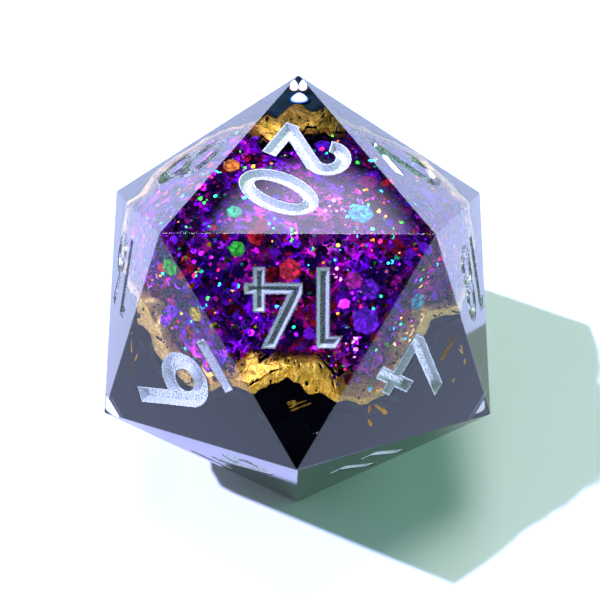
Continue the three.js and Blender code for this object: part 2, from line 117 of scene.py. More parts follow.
# Height of the rim round the axis, by degrees from +X towards the back
RIM_POINTS = [
    (-180, 4.3), (-165, 7), (-156, 6.6), (-148, 6.1), (-140, 5.8), (-131, 5.8), (-124, 6.3),
    (-119, 7.1), (-114, 7.7), (-104, 8.15), (-95, 8.25), (-86, 8.1), (-75, 7.8), (-71, 7.4),
    (-64, 6.6), (-54, 6.3), (-46, 6.9), (-36, 7.2), (-25, 7.6), (-19, 7.1), (-12, 6), (0, 4.3),
    (14, 2.6), (24, 3.2), (30, 3.6), (38, 2.7), (50, 3), (62, 5.3), (74, 7.45), (90, 7.7),
    (107, 7.75), (118, 4.9), (128, 3.5), (138, 2.6), (150, 3.8), (160, 2.8), (170, 3.1),
]

# Gold leaf on that joint
LEAF_STATIONS = 1000
LEAF_THICKNESS = 0.03
LEAF_GROOVE = 0.45        # depth of the groove behind the leaf
LEAF_SINK = 0.09          # least depth of the leaf below the surface
LEAF_RELIEF = 0.09
LEAF_RADIUS = 9           # radius from the joint's axis at which the leaf follows the joint
LEAF_WIDTH = 1.6          # how far the leaf runs in along the joint

# Glitter
BED_BORDER = 0.62         # clear resin in front of the bed at the joint
BED_DEPTH = 1.0           # further clear resin in front of it away from the joint
FLAKE_COUNT = 6000

MATERIALS = {}


# ---- small helpers ----

def array(*values):
    return np.array(values, float)


def unit(vector):
    return vector / np.linalg.norm(vector)


def new_mesh(points, faces):
    mesh = bpy.data.meshes.new("mesh")
    mesh.from_pydata([tuple(p) for p in points], [], [tuple(f) for f in faces])
    mesh.update()
    return mesh


def built_mesh(build):
    mesh = bpy.data.meshes.new("mesh")
    build.to_mesh(mesh)
    build.free()
    return mesh


def prism_faces(count):
    """Faces of a solid given as a lower outline and then an upper one with as many points."""
    sides = [(i, (i + 1) % count, count + (i + 1) % count, count + i) for i in range(count)]
    return [tuple(range(count))[::-1], tuple(range(count, 2 * count)), *sides]


def sheet_face(row, i, count):
    """The face that follows point i, between a closed row of points and the next row."""
    j = (i + 1) % count
    return (row * count + i, row * count + j, (row + 1) * count + j, (row + 1) * count + i)


def new_object(name, data):
    made = bpy.data.objects.new(name, data)
    bpy.context.scene.collection.objects.link(made)
    return made


def combined(base, operation, others):
    """A new mesh: base with the others cut away, joined on, or kept only where they meet it."""
    if not others:
        return base
    tools = bpy.data.collections.new("tools")
    bpy.context.scene.collection.children.link(tools)
    for other in others:
        tools.objects.link(bpy.data.objects.new("tool", other))
    target = new_object("target", base)
    modifier = target.modifiers.new("combine", "BOOLEAN")
    modifier.operation = operation
    modifier.solver = "MANIFOLD"
    modifier.operand_type = "COLLECTION"
    modifier.collection = tools
    bpy.context.view_layer.update()
    depsgraph = bpy.context.evaluated_depsgraph_get()
    result = bpy.data.meshes.new_from_object(target.evaluated_get(depsgraph))
    for tool in list(tools.objects):
        bpy.data.objects.remove(tool)
    bpy.data.objects.remove(target)
    bpy.data.collections.remove(tools)
    return result


def joined(meshes):
    return combined(meshes[0], "UNION", meshes[1:])


def add_piece(name, mesh, material, replaced=(), smooth_below=None):
    mesh.transform(Matrix.Translation(CENTRE) @ Matrix.Scale(MM, 4))
    if smooth_below is not None:
        mesh.shade_smooth()
        mesh.set_sharp_from_angle(angle=math.radians(smooth_below))
    mesh.materials.clear()
    mesh.materials.append(material)
    mesh.name = name
    piece = new_object(name, mesh)
    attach(piece, "root")
    if replaced:
        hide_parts(*replaced)
    return piece


# ---- the twelve corners and the twenty faces ----

def ring_corner(radius, degrees, height):
    angle = math.radians(degrees)
    return array(radius * math.cos(angle), radius * math.sin(angle), height)


def make_corners():
    top_ring = EDGE / math.sqrt(3)
    upper_ring = top_ring * GOLDEN
    upper_height = INRADIUS / GOLDEN ** 3
    corners = {
        "back": ring_corner(top_ring, 90, INRADIUS),
        "left": ring_corner(top_ring, 210, INRADIUS),
        "right": ring_corner(top_ring, 330, INRADIUS),
        "front": ring_corner(upper_ring, 270, upper_height),
        "rightShoulder": ring_corner(upper_ring, 30, upper_height),
        "leftShoulder": ring_corner(upper_ring, 150, upper_height),
    }
    corners["leftHip"] = -corners["rightShoulder"]
    corners["rightHip"] = -corners["leftShoulder"]
    corners["frontFoot"] = -corners["back"]
    return corners


CORNER = make_corners()

# The ten faces of the upper front, each with the corner its number points to first. The other
# ten lie opposite, where the two numbers add up to 21.
SHOWN_FACES = {
    20: ("right", "left", "back"),
    14: ("front", "left", "right"),
    6: ("leftHip", "left", "front"),
    4: ("rightHip", "right", "front"),
    8: ("leftShoulder", "left", "back"),
    2: ("rightShoulder", "right", "back"),
    16: ("leftHip", "left", "leftShoulder"),
    18: ("rightHip", "right", "rightShoulder"),
    9: ("front", "leftHip", "frontFoot"),
    11: ("front", "rightHip", "frontFoot"),
}

Face = namedtuple("Face", "centre right up out")
Layout = namedtuple("Layout", "height stroke x y")

ONE_DIGIT = Layout(5.2, 0.85, 0, 0.3)
TWO_DIGITS = Layout(4, 0.68, 0.1, -0.3)
OWN_LAYOUT = {
    20: Layout(4.36, 0.82, -0.25, -0.33),
    14: Layout(3.95, 0.68, 0.18, -0.27),
    6: Layout(5.6, 0.94, -0.28, 1.4),
    4: Layout(4.8, 0.78, -0.3, 0.2),
    8: Layout(5.3, 0.85, 0.3, 0.3),
    2: Layout(5.2, 0.85, -0.2, 0.5),
    16: Layout(4.2, 0.7, 0.8, -0.2),
    18: Layout(4.2, 0.7, -0.5, 0),
    9: Layout(5.2, 0.9, 0, 0.9),
}


def make_face(corners):
    centre = sum(corners) / 3
    up = unit(corners[0] - centre)
    out = unit(centre)
    return Face(centre, np.cross(up, out), up, out)


def make_faces():
    faces = {}
    for number, names in SHOWN_FACES.items():
        here = [CORNER[name] for name in names]
        faces[number] = make_face(here)
        faces[21 - number] = make_face([-corner for corner in here])
    return faces


FACES = make_faces()
OUTWARD = np.array([face.out for face in FACES.values()])


def on_face(number, points):
    """Points given as right, up and out of a face, in the die's own space."""
    face = FACES[number]
    points = np.asarray(points, float)
    return face.centre + points @ np.array([face.right, face.up, face.out])


def depth_below_faces(points):
    return (INRADIUS - points @ OUTWARD.T).min(axis=1)


def die_mesh(inset, rounding=0):
    """The die's own shape, inset on all sides and with rounded edges if asked."""
    upper = ["back", "left", "right", "front", "rightShoulder", "leftShoulder"]
    corners = [sign * CORNER[name] for name in upper for sign in (1, -1)]
    build = bmesh.new()
    for corner in corners:
        build.verts.new(corner * (1 - inset / INRADIUS))
    bmesh.ops.convex_hull(build, input=build.verts)
    if rounding:
        bmesh.ops.bevel(
            build, geom=build.edges[:], offset=rounding, segments=3, profile=0.5, affect="EDGES",
        )
    bmesh.ops.recalc_face_normals(build, faces=build.faces)
    return built_mesh(build)


# ---- strokes of the numerals ----
# A stroke is an outline or an arc, given at the face, and it leans in below the face.

Arc = namedtuple("Arc", "x y radius_x radius_y width start end")


def outline(*points):
    corners = np.array(points, float)
    following = np.roll(corners, -1, axis=0)
    area = np.sum(corners[:, 0] * following[:, 1] - following[:, 0] * corners[:, 1])
    return corners if area > 0 else corners[::-1]


def box(left, right, bottom, top):
    return outline((left, bottom), (right, bottom), (right, top), (left, top))


def straight(start, end, width):
    start, end = array(*start), array(*end)
    along = unit(end - start)
    aside = array(-along[1], along[0]) * width / 2
    return outline(start + aside, start - aside, end - aside, end + aside)


def ring(x, y, radius_x, radius_y, width):
    return Arc(x, y, radius_x, radius_y, width, 0, 360)


def stacked_radii(height, stroke):
    mean = (height - stroke) / 4
    return 0.93 * mean, 1.07 * mean


def six_strokes(height, stroke):
    radius = 0.194 * height
    centre_y = stroke / 2 + radius - height / 2
    lean = math.radians(21.6)
    start_x = -radius * math.cos(lean)
    start_y = centre_y + radius * math.sin(lean)
    end_y = height / 2 - (stroke / 2) * math.sin(lean)
    end_x = start_x + (end_y - start_y) * math.tan(lean)
    early = 0.3 * stroke
    start = (start_x - early * math.sin(lean), start_y - early * math.cos(lean))
    return [ring(0, centre_y, radius, radius, stroke), straight(start, (end_x, end_y), stroke)]


def turned(stroke):
    if isinstance(stroke, Arc):
        start, end = stroke.start + 180, stroke.end + 180
        return stroke._replace(x=-stroke.x, y=-stroke.y, start=start, end=end)
    return outline(*(-stroke))


def zero(h, s):
    return 0.6 * h, [ring(0, 0, 0.3 * h - s / 2, (h - s) / 2, s)]


def one(h, s):
    stem = 0.123 * h - s / 4
    flag = outline(
        (stem + s / 2, h / 2),
        (stem - 0.165 * h, h / 2),
        (stem - 0.246 * h, h / 2 - 0.93 * s),
        (stem + s / 2, h / 2 - 0.93 * s),
    )
    return 0.246 * h + s / 2, [box(stem - s / 2, stem + s / 2, -h / 2, h / 2), flag]


def two(h, s):
    radius = 0.287 * h - s / 2
    centre_y = h / 2 - s / 2 - radius
    turn = math.radians(35)
    join_x = radius * math.cos(turn)
    join_y = centre_y - radius * math.sin(turn)
    foot_y = s / 2 - h / 2
    foot_x = join_x - (join_y - foot_y) * math.tan(turn)
    early = 0.4 * s
    start = (join_x + early * math.sin(turn), join_y + early * math.cos(turn))
    return 0.574 * h, [
        Arc(0, centre_y, radius, radius, s, -50, 198),
        straight(start, (foot_x, foot_y), s),
        box(-0.287 * h, 0.287 * h, -h / 2, -h / 2 + s),
    ]


def three(h, s):
    upper, lower = stacked_radii(h, s)
    return 2 * lower + s, [
        Arc(0, h / 2 - s / 2 - upper, upper, upper, s, -115, 165),
        Arc(0, s / 2 - h / 2 + lower, lower, lower, s, -165, 115),
    ]


def four(h, s):
    diagonal = outline(
        (0.157 * h, h / 2),
        (0.157 * h - 1.05 * s, h / 2),
        (-0.359 * h, -0.176 * h),
        (-0.359 * h, -0.31 * h),
        (-0.238 * h, -0.31 * h),
    )
    return 0.718 * h, [
        diagonal,
        box(-0.359 * h, 0.359 * h, -0.31 * h, -0.31 * h + 0.86 * s),
        box(0.176 * h - 0.46 * s, 0.176 * h + 0.46 * s, -h / 2, 0.056 * h),
    ]


def five(h, s):
    radius = 0.3 * h - s / 2
    left = -0.26 * h
    return 0.58 * h, [
        box(left, 0.25 * h, h / 2 - s, h / 2),
        box(left, left + s, -0.02 * h, h / 2),
        Arc(-0.02 * h, s / 2 - h / 2 + radius, radius, radius, s, -155, 128),
    ]


def six(h, s):
    return 0.388 * h + s, six_strokes(h, s)


def seven(h, s):
    leg = outline(
        (0.28 * h, h / 2),
        (0.28 * h - 1.1 * s, h / 2),
        (-0.16 * h, -h / 2),
        (-0.16 * h + 1.1 * s, -h / 2),
    )
    return 0.56 * h, [box(-0.28 * h, 0.28 * h, h / 2 - 0.95 * s, h / 2), leg]


def eight(h, s):
    upper, lower = stacked_radii(h, s)
    return 2 * lower + s, [
        ring(0, h / 2 - s / 2 - upper, upper, upper, s),
        ring(0, s / 2 - h / 2 + lower, lower, lower, s),
    ]


def nine(h, s):
    return 0.388 * h + s, [turned(stroke) for stroke in six_strokes(h, s)]


GLYPHS = [zero, one, two, three, four, five, six, seven, eight, nine]

# A layer says between which heights a solid runs and how much narrower than the recess it is.
Layer = namedtuple("Layer", "low high narrower")
RECESS = Layer(-GROOVE_DEPTH, CUT_ABOVE, 0)
ROOM = Layer(-GROOVE_DEPTH - BLACK_BELOW, CUT_ABOVE, -BLACK_BELOW)
PAINT_OUTSIDE = Layer(-GROOVE_DEPTH - PAINT_BITE, -PAINT_SINK, -PAINT_BITE)
PAINT_INSIDE = Layer(PAINT_ON_FLOOR - GROOVE_DEPTH, CUT_ABOVE, PAINT_ON_WALL)


def lean_at(height, layer):
    return layer.narrower - height * WALL_SLOPE


def inward_normal(start, end):
    return unit(array(start[1] - end[1], end[0] - start[0]))


def shrunk(corners, amount):
    moved = []
    for index, corner in enumerate(corners):
        first = inward_normal(corners[index - 1], corner)
        second = inward_normal(corner, corners[(index + 1) % len(corners)])
        moved.append(corner + (first + second) * amount / (1 + first @ second))
    return np.array(moved)


def outline_solid(corners, layer):
    points = []
    for height in (layer.low, layer.high):
        level = shrunk(corners, lean_at(height, layer))
        points += [(x, y, height) for x, y in level]
    return points, prism_faces(len(corners))


def arc_section(stroke, layer, share, closed):
    section = []
    for height in (layer.low, layer.high):
        lean = lean_at(height, layer)
        trim = 0 if closed else lean / stroke.radius_x
        start = math.radians(stroke.start) + trim
        end = math.radians(stroke.end) - trim
        angle = start + (end - start) * share
        half = stroke.width / 2 - lean
        pair = [
            (
                stroke.x + (stroke.radius_x + side) * math.cos(angle),
                stroke.y + (stroke.radius_y + side) * math.sin(angle),
                height,
            )
            for side in (-half, half)
        ]
        section += pair if height == layer.low else pair[::-1]
    return section


def arc_solid(stroke, layer):
    sweep = stroke.end - stroke.start
    closed = sweep >= 360
    flats = round(sweep / ARC_STEP)
    stations = flats if closed else flats + 1
    points = []
    for i in range(stations):
        points += arc_section(stroke, layer, i / flats, closed)
    faces = []
    for i in range(flats):
        here = 4 * i
        following = 4 * ((i + 1) % stations)
        for side in range(4):
            after = (side + 1) % 4
            faces.append((here + side, following + side, following + after, here + after))
    if not closed:
        last = 4 * flats
        faces.append((0, 1, 2, 3))
        faces.append((last + 3, last + 2, last + 1, last))
    return points, faces


def stroke_mesh(figure, stroke, layer):
    build = arc_solid if isinstance(stroke, Arc) else outline_solid
    points, faces = build(stroke, layer)
    shifted = np.array(points) + array(figure.x, figure.y, 0)
    return new_mesh(on_face(figure.number, shifted), faces)


# ---- the numbers laid out on their faces ----

Figure = namedtuple("Figure", "name number strokes x y")


def figures_of(number):
    layout = OWN_LAYOUT.get(number, ONE_DIGIT if number < 10 else TWO_DIGITS)
    glyphs = [GLYPHS[int(digit)](layout.height, layout.stroke) for digit in str(number)]
    space = DIGIT_SPACE * layout.height
    total = sum(width for width, _ in glyphs) + space * (len(glyphs) - 1)
    endings = [""] if len(glyphs) == 1 else ["_tens", "_units"]
    left = layout.x - total / 2
    figures = []
    for (width, strokes), ending in zip(glyphs, endings):
        name = f"numeral_{number}{ending}"
        figures.append(Figure(name, number, strokes, left + width / 2, layout.y))
        left += width + space
    if number in (6, 9):
        half = BAR_LENGTH * layout.height / 2
        top = -layout.height / 2 - BAR_DROP
        bar = box(-half, half, top - BAR_THICKNESS, top)
        figures.append(Figure(f"numeral_{number}_bar", number, [bar], layout.x, layout.y))
    return figures


FIGURES = [figure for number in range(1, 21) for figure in figures_of(number)]


def all_strokes(layer):
    return [stroke_mesh(figure, stroke, layer) for figure in FIGURES for stroke in figure.strokes]


# ---- random fields, as sums of plane waves ----

def make_waves(seed, count, shortest, longest):
    """Plane waves in random directions with lengths between two bounds, in millimetres."""
    draw = np.random.RandomState(seed)
    directions = draw.normal(size=(count, 3))
    directions /= np.linalg.norm(directions, axis=1)[:, None]
    lengths = np.exp(draw.uniform(math.log(shortest), math.log(longest), count))
    phases = draw.uniform(0, 2 * math.pi, count)
    return directions * (2 * math.pi / lengths)[:, None], phases, lengths / lengths.sum()


def smooth_field(points, waves):
    vectors, phases, shares = waves
    return np.sin(points @ vectors.T + phases) @ shares


def creased_field(points, waves):
    vectors, phases, shares = waves
    return 1 - 2 * np.abs(np.sin((points @ vectors.T + phases) / 2)) @ shares


# ---- the joint between the two resins ----

JOINT_AXIS = unit(CORNER["left"] + CORNER["right"])
JOINT_RIGHT = array(1, 0, 0)
JOINT_BACK = np.cross(JOINT_AXIS, JOINT_RIGHT)
JOINT_WAVES = make_waves(7, 14, 0.9, 3.2)


def from_joint(radius, angle, height):
    """A point given by its radius and angle round the joint's axis and its height along it."""
    across = np.multiply.outer(radius * np.cos(angle), JOINT_RIGHT)
    back = np.multiply.outer(radius * np.sin(angle), JOINT_BACK)
    return across + back + np.multiply.outer(height, JOINT_AXIS)


def to_joint(points):
    right = points @ JOINT_RIGHT
    back = points @ JOINT_BACK
    return np.hypot(right, back), np.arctan2(back, right), points @ JOINT_AXIS


def rim_height(angle):
    """A smooth curve through the rim's points."""
    degrees, heights = np.array(RIM_POINTS, float).T
    degrees = np.concatenate([degrees[-2:] - 360, degrees, degrees[:3] + 360])
    heights = np.concatenate([heights[-2:], heights, heights[:3]])
    slopes = np.zeros(len(degrees))
    slopes[1:-1] = (heights[2:] - heights[:-2]) / (degrees[2:] - degrees[:-2])
    turn = (np.degrees(angle) + 180) % 360 - 180
    here = np.searchsorted(degrees, turn, side="right") - 1
    span = degrees[here + 1] - degrees[here]
    share = (turn - degrees[here]) / span
    rest = 1 - share
    level = heights[here] * (1 + 2 * share) * rest ** 2
    level = level + heights[here + 1] * (3 - 2 * share) * share ** 2
    bend = slopes[here] * share * rest ** 2 - slopes[here + 1] * share ** 2 * rest
    return level + span * bend


def joint_height(radius, angle):
    share = np.clip((radius - CUP_FLAT_RADIUS) / (CUP_RIM_RADIUS - CUP_FLAT_RADIUS), 0, 1)
    share = share * share * (3 - 2 * share)
    height = CUP_FLOOR + (rim_height(angle) - CUP_FLOOR) * share
    return height + 0.25 * smooth_field(from_joint(radius, angle, 0 * angle), JOINT_WAVES)


def height_above_joint(points):
    radius, angle, height = to_joint(points)
    return height - joint_height(radius, angle)


def above_joint(drop):
    """The space above the joint, its floor lowered by drop, a function of the angle."""
    count = JOINT_STATIONS
    angles = np.arange(count) * 2 * math.pi / count
    levels = []
    for radius in [*np.linspace(0.5, 12, 47), OUTSIDE_RADIUS]:
        radii = np.full(count, float(radius))
        levels.append(from_joint(radii, angles, joint_height(radii, angles) - drop(angles)))
    levels.append(from_joint(radii, angles, np.full(count, 2 * INRADIUS)))
    top = (len(levels) - 1) * count
    faces = [tuple(range(count))[::-1]]
    faces += [sheet_face(row, i, count) for row in range(len(levels) - 1) for i in range(count)]
    faces.append(tuple(range(top, top + count)))
    return new_mesh(np.concatenate(levels), faces)


def leaf_drop(angle):
    """How far the leaf hangs down over the black resin at the surface."""
    wide = np.exp(-((np.degrees(angle) + 46) / 12) ** 2)
    off_back = np.degrees(angle) - 90
    back = np.exp(-(off_back / 25) ** 2)
    beside = np.exp(-((np.abs(off_back) - 17) / 9) ** 2)
    return 0.2 + 0.55 * np.cos(angle) ** 2 + wide + 0.25 * back + 0.2 * beside


def reach(angle, height, inset):
    """Radius at which a level line from the joint's axis meets the die's surface."""
    direction = from_joint(np.ones_like(angle), angle, 0 * angle)
    along = direction @ OUTWARD.T
    room = np.reshape(INRADIUS - inset, (-1, 1)) - np.multiply.outer(height, OUTWARD @ JOINT_AXIS)
    limits = np.where(along > 1e-6, room / np.maximum(along, 1e-6), np.inf)
    return limits.min(axis=1)


def tip_zone(corner, edge):
    axis = unit(CORNER[corner])
    distance = np.linalg.norm(CORNER[corner]) - edge * EDGE_TO_AXIS
    build = bmesh.new()
    bmesh.ops.create_cube(build, size=2 * INRADIUS)
    block = built_mesh(build)
    turn = Vector(axis).to_track_quat("Z", "Y").to_matrix().to_4x4()
    block.transform(turn @ Matrix.Translation((0, 0, distance + INRADIUS)))
    return block


# ---- materials ----

def new_material(name, colour, roughness, metallic=0.0):
    material = bpy.data.materials.new(name)
    material.use_nodes = True
    shader = material.node_tree.nodes["Principled BSDF"]
    shader.inputs["Base Color"].default_value = (*colour, 1)
    shader.inputs["Roughness"].default_value = roughness
    shader.inputs["Metallic"].default_value = metallic
    material.diffuse_color = (*colour, 1)
    return material, material.node_tree, shader


def coat(tree, shader, tint, roughness=None):
    """Link a tint and, where it is given, a roughness to a shader."""
    tree.links.new(tint, shader.inputs["Base Color"])
    if roughness is not None:
        tree.links.new(roughness, shader.inputs["Roughness"])


def add_node(tree, kind, inputs=None, **settings):
    node = tree.nodes.new(kind)
    for key, value in settings.items():
        setattr(node, key, value)
    for key, value in (inputs or {}).items():
        if isinstance(value, bpy.types.NodeSocket):
            tree.links.new(value, node.inputs[key])
        else:
            node.inputs[key].default_value = value
    return node


def per_mm(size):
    """A texture scale whose features are about size millimetres across."""
    return 1 / (size * MM)


def place_on(tree):
    return add_node(tree, "ShaderNodeTexCoord").outputs["Object"]


def noise_map(tree, size, detail=3.0, rough=0.5, distortion=0.0):
    inputs = {
        "Vector": place_on(tree), "Scale": per_mm(size), "Detail": detail,
        "Roughness": rough, "Distortion": distortion,
    }
    return add_node(tree, "ShaderNodeTexNoise", inputs).outputs["Fac"]


def cell_map(tree, size, output="Color", feature="F1"):
    inputs = {"Vector": place_on(tree), "Scale": per_mm(size)}
    return add_node(tree, "ShaderNodeTexVoronoi", inputs, feature=feature).outputs[output]


def stretch(tree, value, low, high, out_low=0.0, out_high=1.0):
    inputs = {
        "Value": value, "From Min": low, "From Max": high, "To Min": out_low, "To Max": out_high,
    }
    return add_node(tree, "ShaderNodeMapRange", inputs).outputs["Result"]


def ramp(tree, value, *stops):
    node = add_node(tree, "ShaderNodeValToRGB", {"Fac": value})
    elements = node.color_ramp.elements
    while len(elements) < len(stops):
        elements.new(0.5)
    for element, (position, colour) in zip(elements, stops):
        element.position = position
        element.color = (*colour, 1)
    return node.outputs["Color"]


def mixed(tree, factor, first, second, blend="MIX"):
    node = add_node(tree, "ShaderNodeMix", data_type="RGBA", blend_type=blend)
    for index, value in ((0, factor), (6, first), (7, second)):
        if isinstance(value, bpy.types.NodeSocket):
            tree.links.new(value, node.inputs[index])
        else:
            node.inputs[index].default_value = value
    return node.outputs[2]


def bump(tree, shader, height, distance, strength=1.0):
    inputs = {"Height": height, "Distance": distance * MM, "Strength": strength}
    node = add_node(tree, "ShaderNodeBump", inputs)
    tree.links.new(node.outputs["Normal"], shader.inputs["Normal"])


def clear_resin_material():
    material, tree, shader = new_material("clear_resin", (0.97, 0.97, 1.0), 0.0)
    shader.inputs["Transmission Weight"].default_value = 1
    shader.inputs["IOR"].default_value = RESIN_IOR
    tint = ramp(tree, noise_map(tree, 3, 2), (0.3, (0.96, 0.96, 1.0)), (0.7, (1.0, 0.98, 1.0)))
    coat(tree, shader, tint)
    return material


def black_resin_material():
    material, tree, shader = new_material("black_resin", (0.0005, 0.0005, 0.0008), 0.03)
    shader.inputs["IOR"].default_value = RESIN_IOR
    tint = ramp(tree, noise_map(tree, 1.6, 5),
                (0.35, (0.0002, 0.0002, 0.0004)), (0.75, (0.0010, 0.0010, 0.0018)))
    coat(tree, shader, tint, stretch(tree, noise_map(tree, 2.5, 2), 0.35, 0.65, 0.02, 0.05))
    return material


def bonded_black_material():
    """The black resin where it is bonded to the clear, so it has no gloss of its own."""
    material, tree, shader = new_material("bonded_black_resin", (0.0004, 0.0004, 0.0006), 0.6)
    shader.inputs["Specular IOR Level"].default_value = 0
    tint = ramp(tree, noise_map(tree, 1.2, 4),
                (0.35, (0.0002, 0.0002, 0.0003)), (0.75, (0.0008, 0.0008, 0.0012)))
    # Painted highlight: a slate grey under the back tip for the light seen there through the clear
    # resin.
    painted_tip_highlight = spot(tree, CORNER["back"], 2.6, 1.0)
    coat(tree, shader, mixed(tree, painted_tip_highlight, tint, (0.010, 0.020, 0.022, 1)))
    return material


def gold_leaf_material(name, light, warmth):
    """Crumpled gold leaf: paler sides as painted light, painted shade in creases and at the back
    under face 20.
    """
    plain = (0.8 * light, 0.45 * light, 0.04 * light)
    material, tree, shader = new_material(name, plain, 0.35, 1.0)
    creases = noise_map(tree, 0.7, 4, 0.55, 1.5)
    grain = noise_map(tree, 0.075, 2, 0.7)
    bright = (1.0 * light, 0.61 * light * warmth, 0.09 * light * warmth)
    middle = (0.70 * light, 0.39 * light * warmth, 0.04 * light * warmth)
    dark = (0.10 * light, 0.04 * light * warmth, 0.002)
    # The dark stops along the creases are painted shade in them.
    tint = ramp(tree, creases, (0.28, bright), (0.40, middle), (0.485, middle), (0.5, dark),
                (0.515, middle), (0.60, bright), (0.66, middle), (0.675, dark), (0.69, middle))
    specks = ramp(tree, grain, (0.36, (0.6, 0.56, 0.46)), (0.5, (1, 1, 1)), (0.64, (1.3, 1.3, 1.3)))
    # Painted shade: the leaf darkened at the back, under face 20.
    shade = mixed(tree, spot(tree, (0, 6.4, 9.4), 2.6, 1.2), (1, 1, 1, 1), (0.28, 0.27, 0.34, 1))
    # Painted light: the leaf paler towards the left and right sides, as on faces 6 and 4.
    aside = add_node(tree, "ShaderNodeSeparateXYZ", {"Vector": place_on(tree)}).outputs["X"]
    aside = add_node(tree, "ShaderNodeMath", {0: aside}, operation="ABSOLUTE").outputs[0]
    painted_side_light = stretch(tree, aside, 3.5 * MM, 6 * MM, 0.0, 0.35 * light)
    tint = mixed(tree, painted_side_light, tint, (1.0, 0.78, 0.34, 1))
    tint = mixed(tree, 1.0, tint, shade, "MULTIPLY")
    tint = mixed(tree, 1.0, tint, specks, "MULTIPLY")
    coat(tree, shader, tint, stretch(tree, grain, 0.35, 0.65, 0.5, 0.3))
    bump(tree, shader, mixed(tree, 0.35, creases, grain), 0.12, 0.9)
    return material


# Painted reflection: pale pearly colours for the sheets in the clear tips.
def pearl_material():
    material, tree, shader = new_material("pearly_film", (0.85, 0.87, 0.92), 0.3, 0.3)
    sheen = noise_map(tree, 0.8, 2, 0.5, 1.0)
    tint = ramp(tree, sheen, (0.35, (0.80, 0.74, 0.62)), (0.5, (0.92, 0.93, 0.95)),
                (0.65, (0.70, 0.82, 0.95)))
    coat(tree, shader, tint, stretch(tree, sheen, 0.3, 0.7, 0.25, 0.45))
    return material


def silver_paint_material(name, colour, metallic, roughness, relief, *stops):
    """Grainy silver paint: roughness of its dark and light grains, then colours by brightness."""
    material, tree, shader = new_material(name, colour, 0.4, metallic)
    grain = noise_map(tree, 0.065, 3, 0.7)
    coat(tree, shader, ramp(tree, grain, *stops), stretch(tree, grain, 0.3, 0.7, *roughness))
    bump(tree, shader, grain, relief, 0.7)
    return material


def flat_paint_material(name, metallic, darkest, middle):
    stops = ((0.38, darkest), (0.5, middle), (0.62, (0.98, 0.99, 1.0)))
    return silver_paint_material(name, (0.72, 0.74, 0.78), metallic, (0.4, 0.26), 0.025, *stops)


def bright_paint_material():
    """The paint on a recess's walls, brighter as painted reflection of the light it catches from
    all sides.
    """
    stops = ((0.36, (0.34, 0.36, 0.36)), (0.6, (0.80, 0.82, 0.84)))
    colour = (0.85, 0.87, 0.9)
    return silver_paint_material("lit_silver_paint_walls", colour, 0.35, (0.45, 0.28), 0.03, *stops)


def spot(tree, centre, radius, softness):
    """One within a radius of a point of the die, fading to nothing over the softness."""
    place = CENTRE + Vector(centre) * MM
    ends = {0: place_on(tree), 1: place}
    apart = add_node(tree, "ShaderNodeVectorMath", ends, operation="DISTANCE").outputs["Value"]
    wobble = stretch(tree, noise_map(tree, 1.5, 2), 0.3, 0.7, -0.6 * MM, 0.6 * MM)
    value = add_node(tree, "ShaderNodeMath", {0: apart, 1: wobble}, operation="ADD").outputs[0]
    return stretch(tree, value, (radius + softness) * MM, radius * MM)


# Patches of the glitter bed: middle in millimetres from the die's centre, radius, colour.
# Partly the glitter's own hues, partly painted glow where bright and painted shade where dark at
# the back.
PAINTED_GLOW_FADE = 1.2
PAINTED_GLOWS_AND_SHADE = [
    ((1.5, -1.5, 8.6), 1.0, (0.95, 0.10, 0.60)),
    ((3.1, -5.4, 7.6), 0.6, (0.45, 0.03, 0.95)),
    ((2.5, -7.2, 5.4), 0.7, (1.00, 0.05, 0.60)),
    ((-0.5, -5.0, 7.8), 0.7, (0.95, 0.005, 0.16)),
    ((-2.1, -4.4, 8.3), 0.5, (0.90, 0.01, 0.10)),
    ((0.6, -7.0, 6.0), 0.8, (0.65, 0.004, 0.20)),
    ((-5.2, -6.6, 4.9), 0.8, (0.70, 0.03, 0.60)),
    ((5.8, -6.6, 4.6), 0.7, (0.55, 0.02, 0.60)),
    ((4.0, -4.6, 7.6), 0.9, (0.16, 0.003, 0.55)),
    ((-4.2, -4.2, 7.9), 0.8, (0.05, 0.003, 0.30)),
    ((0.8, 3.6, 8.8), 2.0, (0.05, 0.002, 0.16)),
]


def glitter_bed_material():
    material, tree, shader = new_material("glitter_bed", (0.16, 0.002, 0.18), 0.5, 0.5)
    shader.inputs["Specular IOR Level"].default_value = 0
    patches = ramp(tree, noise_map(tree, 2.2, 3, 0.6, 0.8),
                   (0.36, (0.03, 0.0008, 0.12)), (0.46, (0.12, 0.0015, 0.34)),
                   (0.54, (0.30, 0.002, 0.38)), (0.64, (0.62, 0.003, 0.18)))
    # Each cell of the bed gets a tone at random; the brightest go over one as painted glints.
    cell_tones_and_glints = ramp(tree, add_node(tree, "ShaderNodeSeparateColor",
                                {"Color": cell_map(tree, 0.5)}).outputs["Red"],
                 (0.0, (0.45, 0.35, 0.6)), (0.5, (0.9, 0.7, 1.1)), (0.85, (1.7, 1.1, 1.8)),
                 (1.0, (3.0, 1.6, 2.8)))
    # Painted glow and painted shade laid over the bed's colour.
    for centre, radius, colour in PAINTED_GLOWS_AND_SHADE:
        near = spot(tree, centre, radius, PAINTED_GLOW_FADE)
        patches = mixed(tree, near, patches, (*colour, 1))
    tint = mixed(tree, 1.0, patches, cell_tones_and_glints, "MULTIPLY")
    edges = cell_map(tree, 0.5, "Distance")
    coat(tree, shader, tint, stretch(tree, edges, 0.0, 0.8, 0.4, 0.6))
    bump(tree, shader, edges, 0.08, 0.5)
    return material


